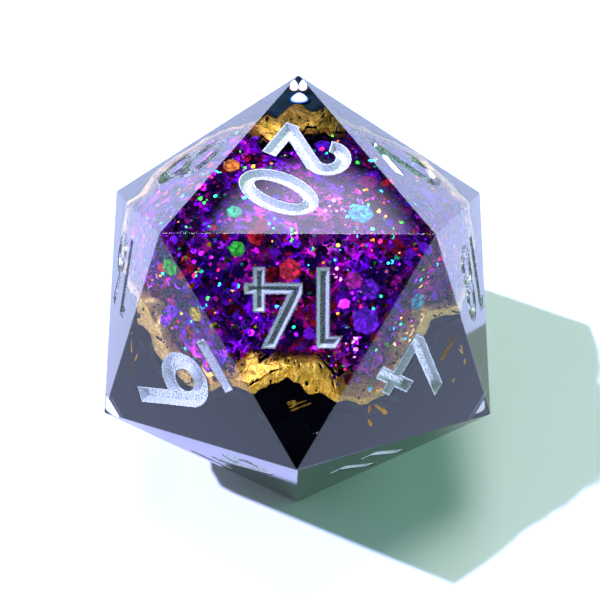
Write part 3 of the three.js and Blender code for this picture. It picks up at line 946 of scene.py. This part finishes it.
def flake_material(name, dark, bright):
    material, tree, shader = new_material(name, bright, 0.3, 0.9)
    shader.inputs["Specular IOR Level"].default_value = 0.1
    chance = add_node(tree, "ShaderNodeNewGeometry").outputs["Random Per Island"]
    middle = tuple((a + b) / 2 for a, b in zip(dark, bright))
    tint = ramp(tree, chance, (0.0, dark), (0.45, dark), (0.75, middle), (1.0, bright))
    film = stretch(tree, noise_map(tree, 0.35, 2), 0.3, 0.7, 0.75, 1.15)
    tint = mixed(tree, 1.0, tint, film, "MULTIPLY")
    coat(tree, shader, tint, stretch(tree, noise_map(tree, 0.2), 0.3, 0.7, 0.22, 0.36))
    bump(tree, shader, noise_map(tree, 0.3, 2), 0.02, 0.5)
    return material


def spark_material(name, bright):
    """A flake caught at the angle at which its film flashes."""
    material, tree, shader = new_material(name, bright, 0.48, 1.0)
    film = ramp(tree, noise_map(tree, 0.12, 2), (0.35, (0.55, 0.55, 0.55)), (0.65, (1.2, 1.2, 1.2)))
    tint = mixed(tree, 1.0, (*bright, 1), film, "MULTIPLY")
    coat(tree, shader, tint, stretch(tree, noise_map(tree, 0.1), 0.3, 0.7, 0.42, 0.56))
    return material


def large_flake_material(name, bright):
    """One of the large flakes near the polish, whose film shines over a wide angle."""
    material, tree, shader = new_material(name, bright, 0.5, 0.6)
    film = ramp(tree, noise_map(tree, 0.22, 3, 0.6, 0.6), (0.38, (0.12, 0.10, 0.16)),
                (0.5, (0.4, 0.38, 0.4)), (0.64, (1.1, 1.0, 1.0)))
    tint = mixed(tree, 1.0, (*bright, 1), film, "MULTIPLY")
    coat(tree, shader, tint, stretch(tree, noise_map(tree, 0.2), 0.3, 0.7, 0.4, 0.6))
    return material


def floor_material():
    material, tree, shader = new_material("pale_floor", (0.86, 0.87, 0.88), 0.6)
    shader.inputs["Specular IOR Level"].default_value = 0.1
    tint = ramp(tree, noise_map(tree, 40, 2), (0.3, (0.85, 0.86, 0.87)), (0.7, (0.88, 0.89, 0.90)))
    coat(tree, shader, tint)
    return material


FLAKE_COLOURS = {
    "violet": ((0.016, 0.0008, 0.07), (0.22, 0.006, 0.70)),
    "magenta": ((0.05, 0.001, 0.06), (0.55, 0.01, 0.34)),
    "red": ((0.07, 0.001, 0.008), (0.80, 0.014, 0.05)),
    "orange": ((0.10, 0.015, 0.001), (0.90, 0.24, 0.015)),
    "yellow": ((0.08, 0.06, 0.002), (0.80, 0.62, 0.02)),
    "green": ((0.008, 0.06, 0.006), (0.05, 0.70, 0.04)),
    "teal": ((0.003, 0.06, 0.03), (0.02, 0.70, 0.25)),
    "cyan": ((0.003, 0.05, 0.07), (0.04, 0.55, 0.65)),
}

for hue, (dark_end, bright_end) in FLAKE_COLOURS.items():
    MATERIALS[hue] = flake_material(f"{hue}_flake", dark_end, bright_end)
    MATERIALS[f"{hue}_spark"] = spark_material(f"{hue}_spark", bright_end)
    MATERIALS[f"{hue}_large"] = large_flake_material(f"{hue}_large_flake", bright_end)
MATERIALS["pink_spark"] = spark_material("pink_spark", (0.95, 0.22, 0.60))
MATERIALS["clear"] = clear_resin_material()
MATERIALS["black"] = black_resin_material()
MATERIALS["bonded"] = bonded_black_material()
MATERIALS["gold"] = gold_leaf_material("gold_leaf", 1.0, 1.0)
# A darker copy of the gold: painted shade on the leaf's inner fold, and the orange fringe on the
# tips' rims.
MATERIALS["fold"] = gold_leaf_material("shaded_gold_leaf_fold", 0.42, 0.75)
MATERIALS["shred"] = gold_leaf_material("gold_shreds", 0.4, 0.85)
MATERIALS["dim_shred"] = gold_leaf_material("dim_gold_shreds", 0.14, 0.8)
MATERIALS["pearl"] = pearl_material()
# Blue for the rims in the clear tips: a painted colour fringe of the light there.
MATERIALS["blue"] = new_material("painted_blue_fringe", (0.04, 0.22, 0.9), 0.4)[0]
MATERIALS["silver"] = flat_paint_material(
    "silver_paint", 1.0, (0.06, 0.065, 0.06), (0.55, 0.57, 0.58))
# A brighter copy for face 20 on top: painted light where it faces the lamps overhead.
MATERIALS["dense_silver"] = flat_paint_material(
    "dense_silver_paint", 0.5, (0.16, 0.17, 0.17), (0.82, 0.83, 0.84))
# A darker copy for the walls on the side faces 8, 2, 16 and 18: painted shade.
MATERIALS["shaded_side_walls"] = flat_paint_material(
    "shaded_side_wall_paint", 1.0, (0.03, 0.025, 0.015), (0.38, 0.40, 0.38))
# Brighter wall paint: painted reflection of the light the walls catch.
MATERIALS["lit_walls"] = bright_paint_material()
MATERIALS["bed"] = glitter_bed_material()
MATERIALS["floor"] = floor_material()


# ---- clear resin ----

def surface_tree(mesh):
    return BVHTree.FromPolygons(
        [vert.co.copy() for vert in mesh.vertices], [face.vertices[:] for face in mesh.polygons],
    )


def depth_inside(tree, point):
    """Depth below the nearest surface, negative outside the resin."""
    nearest, normal, _, distance = tree.find_nearest(Vector(point))
    return distance if (Vector(point) - nearest).dot(normal) < 0 else -distance


def add_clear_resin():
    """The clear skin and corners as one solid. Returns the surface of the whole die."""
    whole = combined(die_mesh(0, EDGE_ROUNDING), "DIFFERENCE", all_strokes(RECESS))
    tree = surface_tree(whole)
    zones = [above_joint(lambda angle: leaf_drop(angle) + CLEAR_OVERLAP + BELOW_LEAF)]
    zones += [tip_zone(corner, edge + CLEAR_OVERLAP) for corner, edge in TIP_EDGES.items()]
    clear = combined(whole, "INTERSECT", [joined(zones)])
    tips = ("clear_tip_back", "clear_tip_left", "clear_tip_right")
    piece = add_piece("clear_resin_skin", clear, MATERIALS["clear"], tips)
    piece.visible_shadow = False
    return tree


# ---- black resin ----

def surface_groove(depth, below_leaf):
    """Room of a given depth all round, from somewhat below the leaf's edge up to the joint."""
    ring_zone = combined(die_mesh(-1), "DIFFERENCE", [die_mesh(depth)])
    lower_end = above_joint(lambda angle: leaf_drop(angle) + below_leaf)
    return combined(ring_zone, "INTERSECT", [lower_end])


def add_black_base():
    base = combined(die_mesh(BLACK_BELOW, EDGE_ROUNDING), "DIFFERENCE",
                    [above_joint(lambda angle: 0 * angle + JOINT_GAP)])
    base = combined(base, "DIFFERENCE", [surface_groove(LEAF_GROOVE, BELOW_LEAF)])
    skin_end = CLEAR_OVERLAP + BELOW_LEAF - 0.01
    base = combined(base, "DIFFERENCE", [surface_groove(SKIN_GROOVE, skin_end)])
    tips = [tip_zone(corner, edge) for corner, edge in TIP_EDGES.items()]
    base = combined(base, "DIFFERENCE", all_strokes(ROOM) + tips)
    middles = np.array([face.center[:] for face in base.polygons])
    depths = np.sort(INRADIUS - middles @ OUTWARD.T, axis=1)
    on_rounding = (depths[:, 0] < ROUNDED_DEPTH) & (depths[:, 1] < ROUNDED_REACH)
    bonded = (depths[:, 0] > BLACK_BELOW + 0.002) & ~on_rounding
    add_piece("black_resin_cup", base, MATERIALS["black"], ["black_resin_base"])
    base.materials.append(MATERIALS["bonded"])
    for face, inside in zip(base.polygons, bonded):
        face.material_index = int(inside)


# ---- gold leaf ----

LEAF_WAVES = make_waves(11, 18, 0.5, 2.2)
LEAF_FINE = make_waves(12, 18, 0.2, 0.6)
LEAF_EDGE = make_waves(13, 12, 0.4, 2.5)
LEAF_CRACKS = make_waves(14, 10, 0.8, 2.6)
SURFACE_ROWS = 12
INNER_ROWS = 24
FOLD_FROM = 0.66          # share of the way in at which the leaf turns into its fold, darker as painted shade


def leaf_rows():
    """Rows of the leaf's sheet from its lower edge up the surface and in along the joint."""
    angle = np.arange(LEAF_STATIONS) * 2 * math.pi / LEAF_STATIONS
    outer = np.full(LEAF_STATIONS, float(LEAF_RADIUS))
    joint = joint_height(outer, angle)
    raggedness = smooth_field(from_joint(outer, angle, rim_height(angle)), LEAF_EDGE)
    rows = []
    for share in np.linspace(0, 1, SURFACE_ROWS):
        height = joint - leaf_drop(angle) * (1 + 0.9 * raggedness) * (1 - share)
        surface = from_joint(reach(angle, height, 0), angle, height)
        inset = LEAF_SINK + LEAF_RELIEF * (1 + creased_field(surface, LEAF_WAVES))
        rows.append(from_joint(reach(angle, height, inset), angle, height))
    inner = LEAF_WIDTH + 0.7 * raggedness
    start = reach(angle, joint, 0.12)
    for share in np.linspace(0, 1, INNER_ROWS + 1)[1:]:
        radius = start - inner * share * (1.1 - 0.3 * np.sin(angle))
        flat = from_joint(radius, angle, 0 * angle)
        lift = 0.12 * creased_field(flat, LEAF_WAVES) + 0.05 * creased_field(flat, LEAF_FINE)
        rows.append(from_joint(radius, angle, joint_height(radius, angle) + 0.03 + lift * 0.7))
    return rows


def leaf_holes(points, resin):
    """Points of the sheet that are torn away or would stand in a number's recess."""
    buried = np.array([depth_inside(resin, point) > 0.04 for point in points])
    cracked = np.abs(smooth_field(points, LEAF_CRACKS)) < 0.012
    cracked &= smooth_field(points, LEAF_EDGE) > 0.08
    pits = smooth_field(points, LEAF_FINE) + smooth_field(points, LEAF_WAVES) > 0.62
    row = np.repeat(np.arange(SURFACE_ROWS + INNER_ROWS), LEAF_STATIONS)
    gap_row = SURFACE_ROWS + FOLD_FROM * INNER_ROWS
    gap = np.abs(row - gap_row + 6 * smooth_field(points, LEAF_EDGE)) < 1.2
    gap &= smooth_field(points, LEAF_CRACKS) > -0.08
    return cracked | pits | gap | ~buried


def add_leaf_piece(name, points, faces, material):
    mesh = new_mesh(points, faces)
    build = bmesh.new()
    build.from_mesh(mesh)
    loose = [vert for vert in build.verts if not vert.link_faces]
    bmesh.ops.delete(build, geom=loose, context="VERTS")
    build.normal_update()
    build.to_mesh(mesh)
    build.free()
    piece = add_piece(name, mesh, material, ["gold_leaf_seam"], 60)
    thickness = piece.modifiers.new("thickness", "SOLIDIFY")
    thickness.thickness = LEAF_THICKNESS * MM
    thickness.offset = -1


def add_gold_leaf(resin):
    rows = leaf_rows()
    points = np.concatenate(rows)
    missing = leaf_holes(points, resin)
    for corner, edge in TIP_EDGES.items():
        limit = np.linalg.norm(CORNER[corner]) - edge * EDGE_TO_AXIS
        missing |= points @ unit(CORNER[corner]) > limit
    sheet, fold = [], []
    for row in range(len(rows) - 1):
        part = sheet if row < SURFACE_ROWS + FOLD_FROM * INNER_ROWS else fold
        for i in range(LEAF_STATIONS):
            face = sheet_face(row, i, LEAF_STATIONS)
            if not any(missing[list(face)]):
                part.append(face)
    add_leaf_piece("gold_leaf_sheet", points, sheet, MATERIALS["gold"])
    add_leaf_piece("shaded_gold_leaf_fold", points, fold, MATERIALS["fold"])


# Loose shreds of leaf in the black, placed right and up of a face's middle, turned in degrees
Shred = namedtuple("Shred", "face x y length width turn")
LEAF_SHREDS = [Shred(*row) for row in [
    (6, 1.7, 3.2, 1.4, 0.13, 128), (6, 1.9, 2.6, 0.7, 0.08, 118), (6, 2.5, 2.5, 0.9, 0.07, 140),
    (6, 3.1, 1.9, 0.3, 0.06, 95),
    (4, -2.2, 1.55, 1.5, 0.2, 5), (4, -1.85, 1.35, 1.3, 0.16, 8), (4, -2.3, 2.45, 0.55, 0.12, 75),
    (4, -2.5, 2.3, 0.4, 0.1, 60), (4, -1.9, 3.2, 0.3, 0.1, 40), (4, -0.85, 3.15, 0.35, 0.14, 20),
    (4, 2.2, -0.7, 0.7, 0.14, 80), (4, 3.0, -1.0, 0.5, 0.16, 60), (4, 2.4, -1.5, 0.45, 0.12, 30),
    (14, 0.1, 4.4, 0.9, 0.12, 19), (14, -0.15, 4.55, 0.7, 0.1, 21), (14, 0.35, 4.3, 0.4, 0.08, 15),
]]
SHRED_WAVES = make_waves(17, 8, 0.3, 0.9)
SHRED_POINTS = 28
SHRED_LEVELS = (-0.03, 0.002)


def shred_mesh(number, x, y, length, width, turn):
    """A ragged lens-shaped scrap lying just under the polish."""
    angle = math.radians(turn)
    middle = array(x, y)
    along = array(math.cos(angle), math.sin(angle))
    aside = array(-along[1], along[0])
    rim = []
    for step in range(SHRED_POINTS):
        around = 2 * math.pi * step / SHRED_POINTS
        arm = along * math.cos(around) * length / 2 + aside * math.sin(around) * width / 2
        rough = 1 + 1.6 * smooth_field(array(*(middle + arm), number), SHRED_WAVES)
        rim.append(middle + arm * rough)
    points = [(px, py, level) for level in SHRED_LEVELS for px, py in rim]
    return new_mesh(on_face(number, points), prism_faces(SHRED_POINTS))


def add_shreds():
    for index, shred in enumerate(LEAF_SHREDS, 1):
        coat = MATERIALS["dim_shred" if shred.length > 1 else "shred"]
        add_piece(f"gold_shred_{index}", shred_mesh(*shred), coat)


# Lens-shaped sheets in the clear tips with painted reflections, and rims painted as colour fringes:
# face, corner, from the corner, to, half width, sideways shift and the material of the rim
TIP_GLARES = [
    (20, "back", 0.34, 1.2, 0.21, 0.23, "fold"), (20, "back", 0.34, 1.2, 0.21, -0.23, "fold"),
    (20, "back", 1.38, 2.08, 0.38, 0.05, "blue"),
    (6, "leftHip", 0.3, 1.25, 0.6, 0.1, "fold"), (4, "rightHip", 0.7, 1.6, 0.42, -0.1, "fold"),
]
GLARE_DEPTH = 0.1
GLARE_THICKNESS = 0.03
GLARE_POINTS = 32
GLARE_TAPER = 0.45         # how much a sheet is wider at its far end
RIM_DEPTH = 0.15
RIM_WIDTH = 0.06


def film_mesh(number, corner, start, end, half_width, shift, grow, depth):
    """A lens-shaped sheet under a face, across the line from a corner to the face's middle."""
    face = FACES[number]
    along = unit(face.centre - CORNER[corner])
    aside = np.cross(face.out, along)
    middle = CORNER[corner] + along * (start + end) / 2 + aside * shift - face.out * depth
    points = []
    for level in (-GLARE_THICKNESS, 0.0):
        for step in range(GLARE_POINTS):
            around = 2 * math.pi * step / GLARE_POINTS
            ahead = ((end - start) / 2 + grow) * math.cos(around)
            wide = (half_width + grow) * (1 + GLARE_TAPER * math.cos(around)) * math.sin(around)
            points.append(middle + along * ahead + aside * wide + face.out * level)
    return new_mesh(points, prism_faces(GLARE_POINTS))


def add_tip_films():
    for index, (*film, rim) in enumerate(TIP_GLARES, 1):
        # Each sheet carries a painted reflection and its rim a painted colour fringe.
        pearly = film_mesh(*film, 0, GLARE_DEPTH)
        add_piece(f"tip_film_{index}", pearly, MATERIALS["pearl"])
        around = film_mesh(*film, RIM_WIDTH, RIM_DEPTH)
        add_piece(f"tip_film_{index}_rim", around, MATERIALS[rim])


# ---- glitter ----

BED_WAVES = make_waves(21, 20, 0.7, 2.4)
BED_CENTRE = JOINT_AXIS * 7


def rounded_depth(points):
    """Depth below the faces, with the edges between them softened."""
    softness = 0.35
    depths = INRADIUS - points @ OUTWARD.T
    return -softness * np.log(np.exp(-depths / softness).sum(axis=1))


def in_bed(points):
    radius, angle, height = to_joint(points)
    above = height - joint_height(radius, angle)
    border = BED_BORDER - 0.35 * np.exp(-((np.degrees(angle) - 90) / 35) ** 2)
    clear = border + BED_DEPTH * (1 - np.exp(-np.maximum(above, 0) / BED_DEPTH))
    lumps = 0.25 * (1 + creased_field(points, BED_WAVES))
    return (above > 0.1) & (rounded_depth(points) > clear + lumps)


def add_glitter_bed():
    build = bmesh.new()
    bmesh.ops.create_icosphere(build, subdivisions=6, radius=1)
    directions = np.array([vert.co[:] for vert in build.verts])
    low = np.zeros(len(directions))
    high = np.full(len(directions), 2 * INRADIUS)
    for _ in range(24):
        middle = (low + high) / 2
        inside = in_bed(BED_CENTRE + directions * middle[:, None])
        low = np.where(inside, middle, low)
        high = np.where(inside, high, middle)
    for vert, direction, radius in zip(build.verts, directions, low):
        vert.co = BED_CENTRE + direction * radius
    bed = built_mesh(build)
    add_piece("glitter_bed", bed, MATERIALS["bed"], ["glitter_resin_body"], 40)


Flake = namedtuple("Flake", "centre normal turn across ragged")
SPECK_WEIGHTS = {
    "violet": 50, "magenta": 20, "red": 14,
    "orange": 4, "yellow": 3, "green": 4, "teal": 4, "cyan": 4,
}
LARGE_WEIGHTS = {"violet": 58, "magenta": 24, "red": 18}
SPARK_WEIGHTS = {
    "violet": 20, "magenta": 9, "red": 12,
    "orange": 13, "yellow": 9, "green": 12, "teal": 10, "cyan": 15,
}
SPARK_SHARE = 0.085       # share of the small flakes that flash
SPARK_LARGEST = 0.34
SPECK_LARGEST = 0.4       # larger flakes have only the large flakes' colours
FLAKE_COVER = 0.06        # clear resin in front of a flake, with part of its own width
RAGGED = (0.6, 1.05)      # a flake's corners lie at these shares of its radius
FAR_ABOVE = 1.2           # this far above the joint some flakes are left out
FAR_LOSS = 0.15

# Knots of flashing flakes: middle in millimetres, spread, colour and number
SPARK_CLUSTERS = [
    ((3.1, -2.1, 9.7), 0.40, "cyan", 40), ((3.3, -1.0, 9.3), 0.25, "magenta", 6),
    ((3.2, -0.6, 9.4), 0.15, "orange", 5), ((2.4, -1.6, 9.2), 0.5, "magenta", 8),
    ((2.6, -7.6, 6.1), 0.35, "pink", 10), ((2.5, -7.5, 6.1), 0.5, "violet", 18),
    ((2.0, -7.9, 5.6), 0.35, "red", 5), ((2.1, -5.0, 8.5), 0.35, "pink", 10),
    ((2.0, -5.3, 8.2), 0.4, "magenta", 8), ((1.9, -1.9, 9.5), 0.45, "pink", 12),
    ((3.1, -5.6, 8.0), 0.25, "violet", 8), ((-4.6, -5.6, 6.5), 0.15, "cyan", 5),
    ((5.4, -6.8, 5.2), 0.2, "cyan", 6), ((2.9, -6.6, 6.9), 0.2, "cyan", 5),
]
SPARK_NORMAL = array(-0.32, -0.27, 0.91)    # about halfway from the key light to the upper front


def flake_across(draw):
    kind = draw.uniform()
    if kind < 0.72:
        return draw.uniform(0.08, 0.26)
    if kind < 0.94:
        return draw.uniform(0.26, 0.6)
    return draw.uniform(0.6, 1.2)


def flake_parts(flake):
    """The twelve points of one thin ragged six-sided flake."""
    out = Vector(flake.normal)
    side = out.orthogonal().normalized()
    other = out.cross(side)
    thickness = 0.02 + 0.03 * flake.across
    points = []
    for level in (-thickness / 2, thickness / 2):
        for k in range(6):
            angle = flake.turn + k * math.pi / 3
            across = side * math.cos(angle) + other * math.sin(angle)
            radius = flake.across / 2 * flake.ragged[k]
            points.append(Vector(flake.centre) + across * radius + out * level)
    return points


FLAKE_FACES = prism_faces(6)


def spark_normal(draw, spread):
    return unit(SPARK_NORMAL + draw.normal(size=3) * spread)


def covered(resin, centre, across):
    return depth_inside(resin, centre) >= FLAKE_COVER + across * 0.4


def scatter_flakes(resin):
    """Flakes by colour, between the bed and the skin, clear of the numbers."""
    draw = np.random.RandomState(31)
    found = {name + kind: [] for name in FLAKE_COLOURS for kind in ("", "_spark")}
    found["pink_spark"] = []
    total = 0
    while total < FLAKE_COUNT:
        batch = draw.uniform(-13, 13, (4000, 3))
        depth = depth_below_faces(batch)
        above = height_above_joint(batch)
        buried = in_bed(batch)
        likely = (depth > 0.1) & (depth < 2.2) & (above > 0.15) & ~buried
        for centre in batch[likely]:
            across = flake_across(draw)
            spark = across < SPARK_LARGEST and draw.uniform() < SPARK_SHARE
            weights = SPECK_WEIGHTS if across < SPECK_LARGEST else LARGE_WEIGHTS
            if spark:
                weights = SPARK_WEIGHTS
            chances = array(*weights.values())
            colour = draw.choice(list(weights), p=chances / chances.sum())
            face_out = OUTWARD[np.argmax(OUTWARD @ centre)]
            normal = unit(face_out + draw.normal(size=3) * 0.45)
            if spark:
                colour = f"{colour}_spark"
                normal = spark_normal(draw, 0.12)
                across = draw.uniform(0.1, SPARK_LARGEST)
            turn = draw.uniform(0, math.pi)
            far = height_above_joint(centre[None])[0] > FAR_ABOVE
            if not covered(resin, centre, across) or (far and draw.uniform() < FAR_LOSS):
                continue
            ragged = draw.uniform(*RAGGED, 6)
            found[colour].append(Flake(centre, normal, turn, across, ragged))
            total += 1
    for middle, spread, colour, count in SPARK_CLUSTERS:
        for _ in range(count):
            centre = array(*middle) + draw.normal(size=3) * spread
            normal = spark_normal(draw, 0.1)
            across = draw.uniform(0.08, 0.3)
            turn = draw.uniform(0, math.pi)
            if covered(resin, centre, across):
                ragged = draw.uniform(*RAGGED, 6)
                found[f"{colour}_spark"].append(Flake(centre, normal, turn, across, ragged))
    return found


def add_large_flake():
    centre = on_face(14, (-3.4, -1.15, -0.3))
    flake = Flake(centre, FACES[14].out, 0.3, 1.15, np.ones(6))
    mesh = new_mesh(flake_parts(flake), FLAKE_FACES)
    add_piece("large_violet_glitter", mesh, MATERIALS["violet_large"])


def add_flakes(resin):
    for colour, flakes in scatter_flakes(resin).items():
        points, faces = [], []
        for flake in flakes:
            start = len(points)
            points += flake_parts(flake)
            faces += [tuple(start + index for index in face) for face in FLAKE_FACES]
        add_piece(f"{colour}_glitter", new_mesh(points, faces), MATERIALS[colour])


# ---- numbers ----

def add_numerals():
    for figure in FIGURES:
        outside = joined([stroke_mesh(figure, stroke, PAINT_OUTSIDE) for stroke in figure.strokes])
        inside = [stroke_mesh(figure, stroke, PAINT_INSIDE) for stroke in figure.strokes]
        paint = combined(outside, "DIFFERENCE", inside)
        out = Vector(FACES[figure.number].out)
        floor = [face.normal.dot(out) > 0.9 for face in paint.polygons]
        # Face 20's paint is a brighter copy, as painted light on the top face.
        coat = MATERIALS["dense_silver" if figure.number == 20 else "silver"]
        add_piece(f"{figure.name}_paint", paint, coat, [figure.name], 30)
        # Walls take the brighter wall paint as painted light, and on the side faces a darker copy
        # as painted shade.
        walls = "shaded_side_walls" if figure.number in (8, 2, 16, 18) else "lit_walls"
        paint.materials.append(MATERIALS[walls])
        for face, flat in zip(paint.polygons, floor):
            face.material_index = 0 if flat else 1


def finish_cad_flakes():
    for subpart in frame["record"]["subparts"]:
        if subpart["node"].startswith("glitter_flake"):
            colour = subpart["material_slot"].removesuffix("_flake")
            mesh = frame["nodes"][subpart["node"]].data
            mesh.materials.clear()
            mesh.materials.append(MATERIALS[f"{colour}_large"])


# ---- stage ----

FLOOR_RADIUS = 1.2
CAMERA_DISTANCE = 63.33
CAMERA_ELEVATION = 52.15
CAMERA_AZIMUTH = 0.14
CAMERA_ROLL = 0.25
CAMERA_AIM = (0.13, -0.035, -0.022)
LENS = 66.5
KEY_DIRECTION = (-0.589, 0.034, 0.807)
KEY_ENERGY = 7.6
KEY_COLOUR = (0.48, 0.50, 1.0)
KEY_WIDTH = 1.5           # degrees
FRONT_COLOUR = (0.008, 0.012, 0.04, 1)
RIGHT_COLOUR = (0.45, 1.3, 0.85, 1)
LEFT_COLOUR = (0.3, 0.35, 0.5, 1)
HORIZON_COLOUR = (1.05, 1.16, 1.02, 1)

# Soft lamps: direction, radius of the full and of the faded part in degrees, colour and strength
LAMPS = [
    ((0.010, 0.634, 0.773), 3.8, 6.0, (0.95, 0.87, 1.35), 6.0),
    ((0.0, 0.31, 0.951), 9, 15, (1.0, 1.12, 1.05), 9.0),
]


def add_floor():
    build = bmesh.new()
    bmesh.ops.create_circle(build, cap_ends=True, segments=96, radius=FLOOR_RADIUS)
    mesh = built_mesh(build)
    mesh.materials.append(MATERIALS["floor"])
    floor = new_object("floor", mesh)
    floor.location.z = cad_low.z


def add_camera():
    camera = bpy.data.cameras.new("camera")
    camera.sensor_width = 36
    camera.lens = LENS
    camera.clip_start = 0.005
    camera.clip_end = 10
    holder = new_object("camera", camera)
    azimuth = math.radians(CAMERA_AZIMUTH)
    elevation = math.radians(CAMERA_ELEVATION)
    back = Vector((
        math.sin(azimuth) * math.cos(elevation),
        -math.cos(azimuth) * math.cos(elevation),
        math.sin(elevation),
    ))
    holder.location = CENTRE + back * CAMERA_DISTANCE * MM
    look = CENTRE + Vector(CAMERA_AIM) * MM - holder.location
    roll = Matrix.Rotation(math.radians(CAMERA_ROLL), 3, "Z")
    holder.rotation_euler = (look.to_track_quat("-Z", "Y").to_matrix() @ roll).to_euler()
    bpy.context.scene.camera = holder


def add_key():
    key = bpy.data.lights.new("key", "SUN")
    key.energy = KEY_ENERGY
    key.color = KEY_COLOUR
    key.angle = math.radians(KEY_WIDTH)
    holder = new_object("key", key)
    holder.rotation_euler = Vector(KEY_DIRECTION).to_track_quat("Z", "Y").to_euler()


def add_world():
    """A green wall to the right, a dim blue one to the left, a pale horizon and the lamps."""
    world = bpy.data.worlds.new("studio")
    bpy.context.scene.world = world
    world.use_nodes = True
    tree = world.node_tree
    direction = add_node(tree, "ShaderNodeTexCoord").outputs["Generated"]
    parts = add_node(tree, "ShaderNodeSeparateXYZ", {"Vector": direction})
    right = stretch(tree, parts.outputs["X"], 0.3, 0.8)
    left = stretch(tree, parts.outputs["X"], -0.3, -0.8)
    low = stretch(tree, parts.outputs["Z"], 0.3, 0.1)
    colour = mixed(tree, right, FRONT_COLOUR, RIGHT_COLOUR)
    colour = mixed(tree, left, colour, LEFT_COLOUR)
    colour = mixed(tree, low, colour, HORIZON_COLOUR)
    shade = tree.nodes["Background"]
    tree.links.new(colour, shade.inputs["Color"])
    total = shade.outputs[0]
    for towards, inner, outer, tint, strength in LAMPS:
        ends = {0: direction, 1: unit(array(*towards))}
        facing = add_node(tree, "ShaderNodeVectorMath", ends, operation="DOT_PRODUCT")
        edge = add_node(tree, "ShaderNodeMapRange", {
            "Value": facing.outputs["Value"],
            "From Min": math.cos(math.radians(outer)), "From Max": math.cos(math.radians(inner)),
            "To Min": 0.0, "To Max": strength,
        }, interpolation_type="SMOOTHSTEP")
        light = {"Color": (*tint, 1), "Strength": edge.outputs["Result"]}
        lamp = add_node(tree, "ShaderNodeBackground", light)
        total = add_node(tree, "ShaderNodeAddShader", {0: total, 1: lamp.outputs[0]}).outputs[0]
    tree.links.new(total, tree.nodes["World Output"].inputs["Surface"])


bpy.context.scene.view_settings.view_transform = "Standard"

add_floor()
add_camera()
add_key()
add_world()

resin_surface = add_clear_resin()
add_black_base()
add_gold_leaf(resin_surface)
add_shreds()
add_tip_films()
add_glitter_bed()
add_flakes(resin_surface)
add_large_flake()
add_numerals()
finish_cad_flakes()
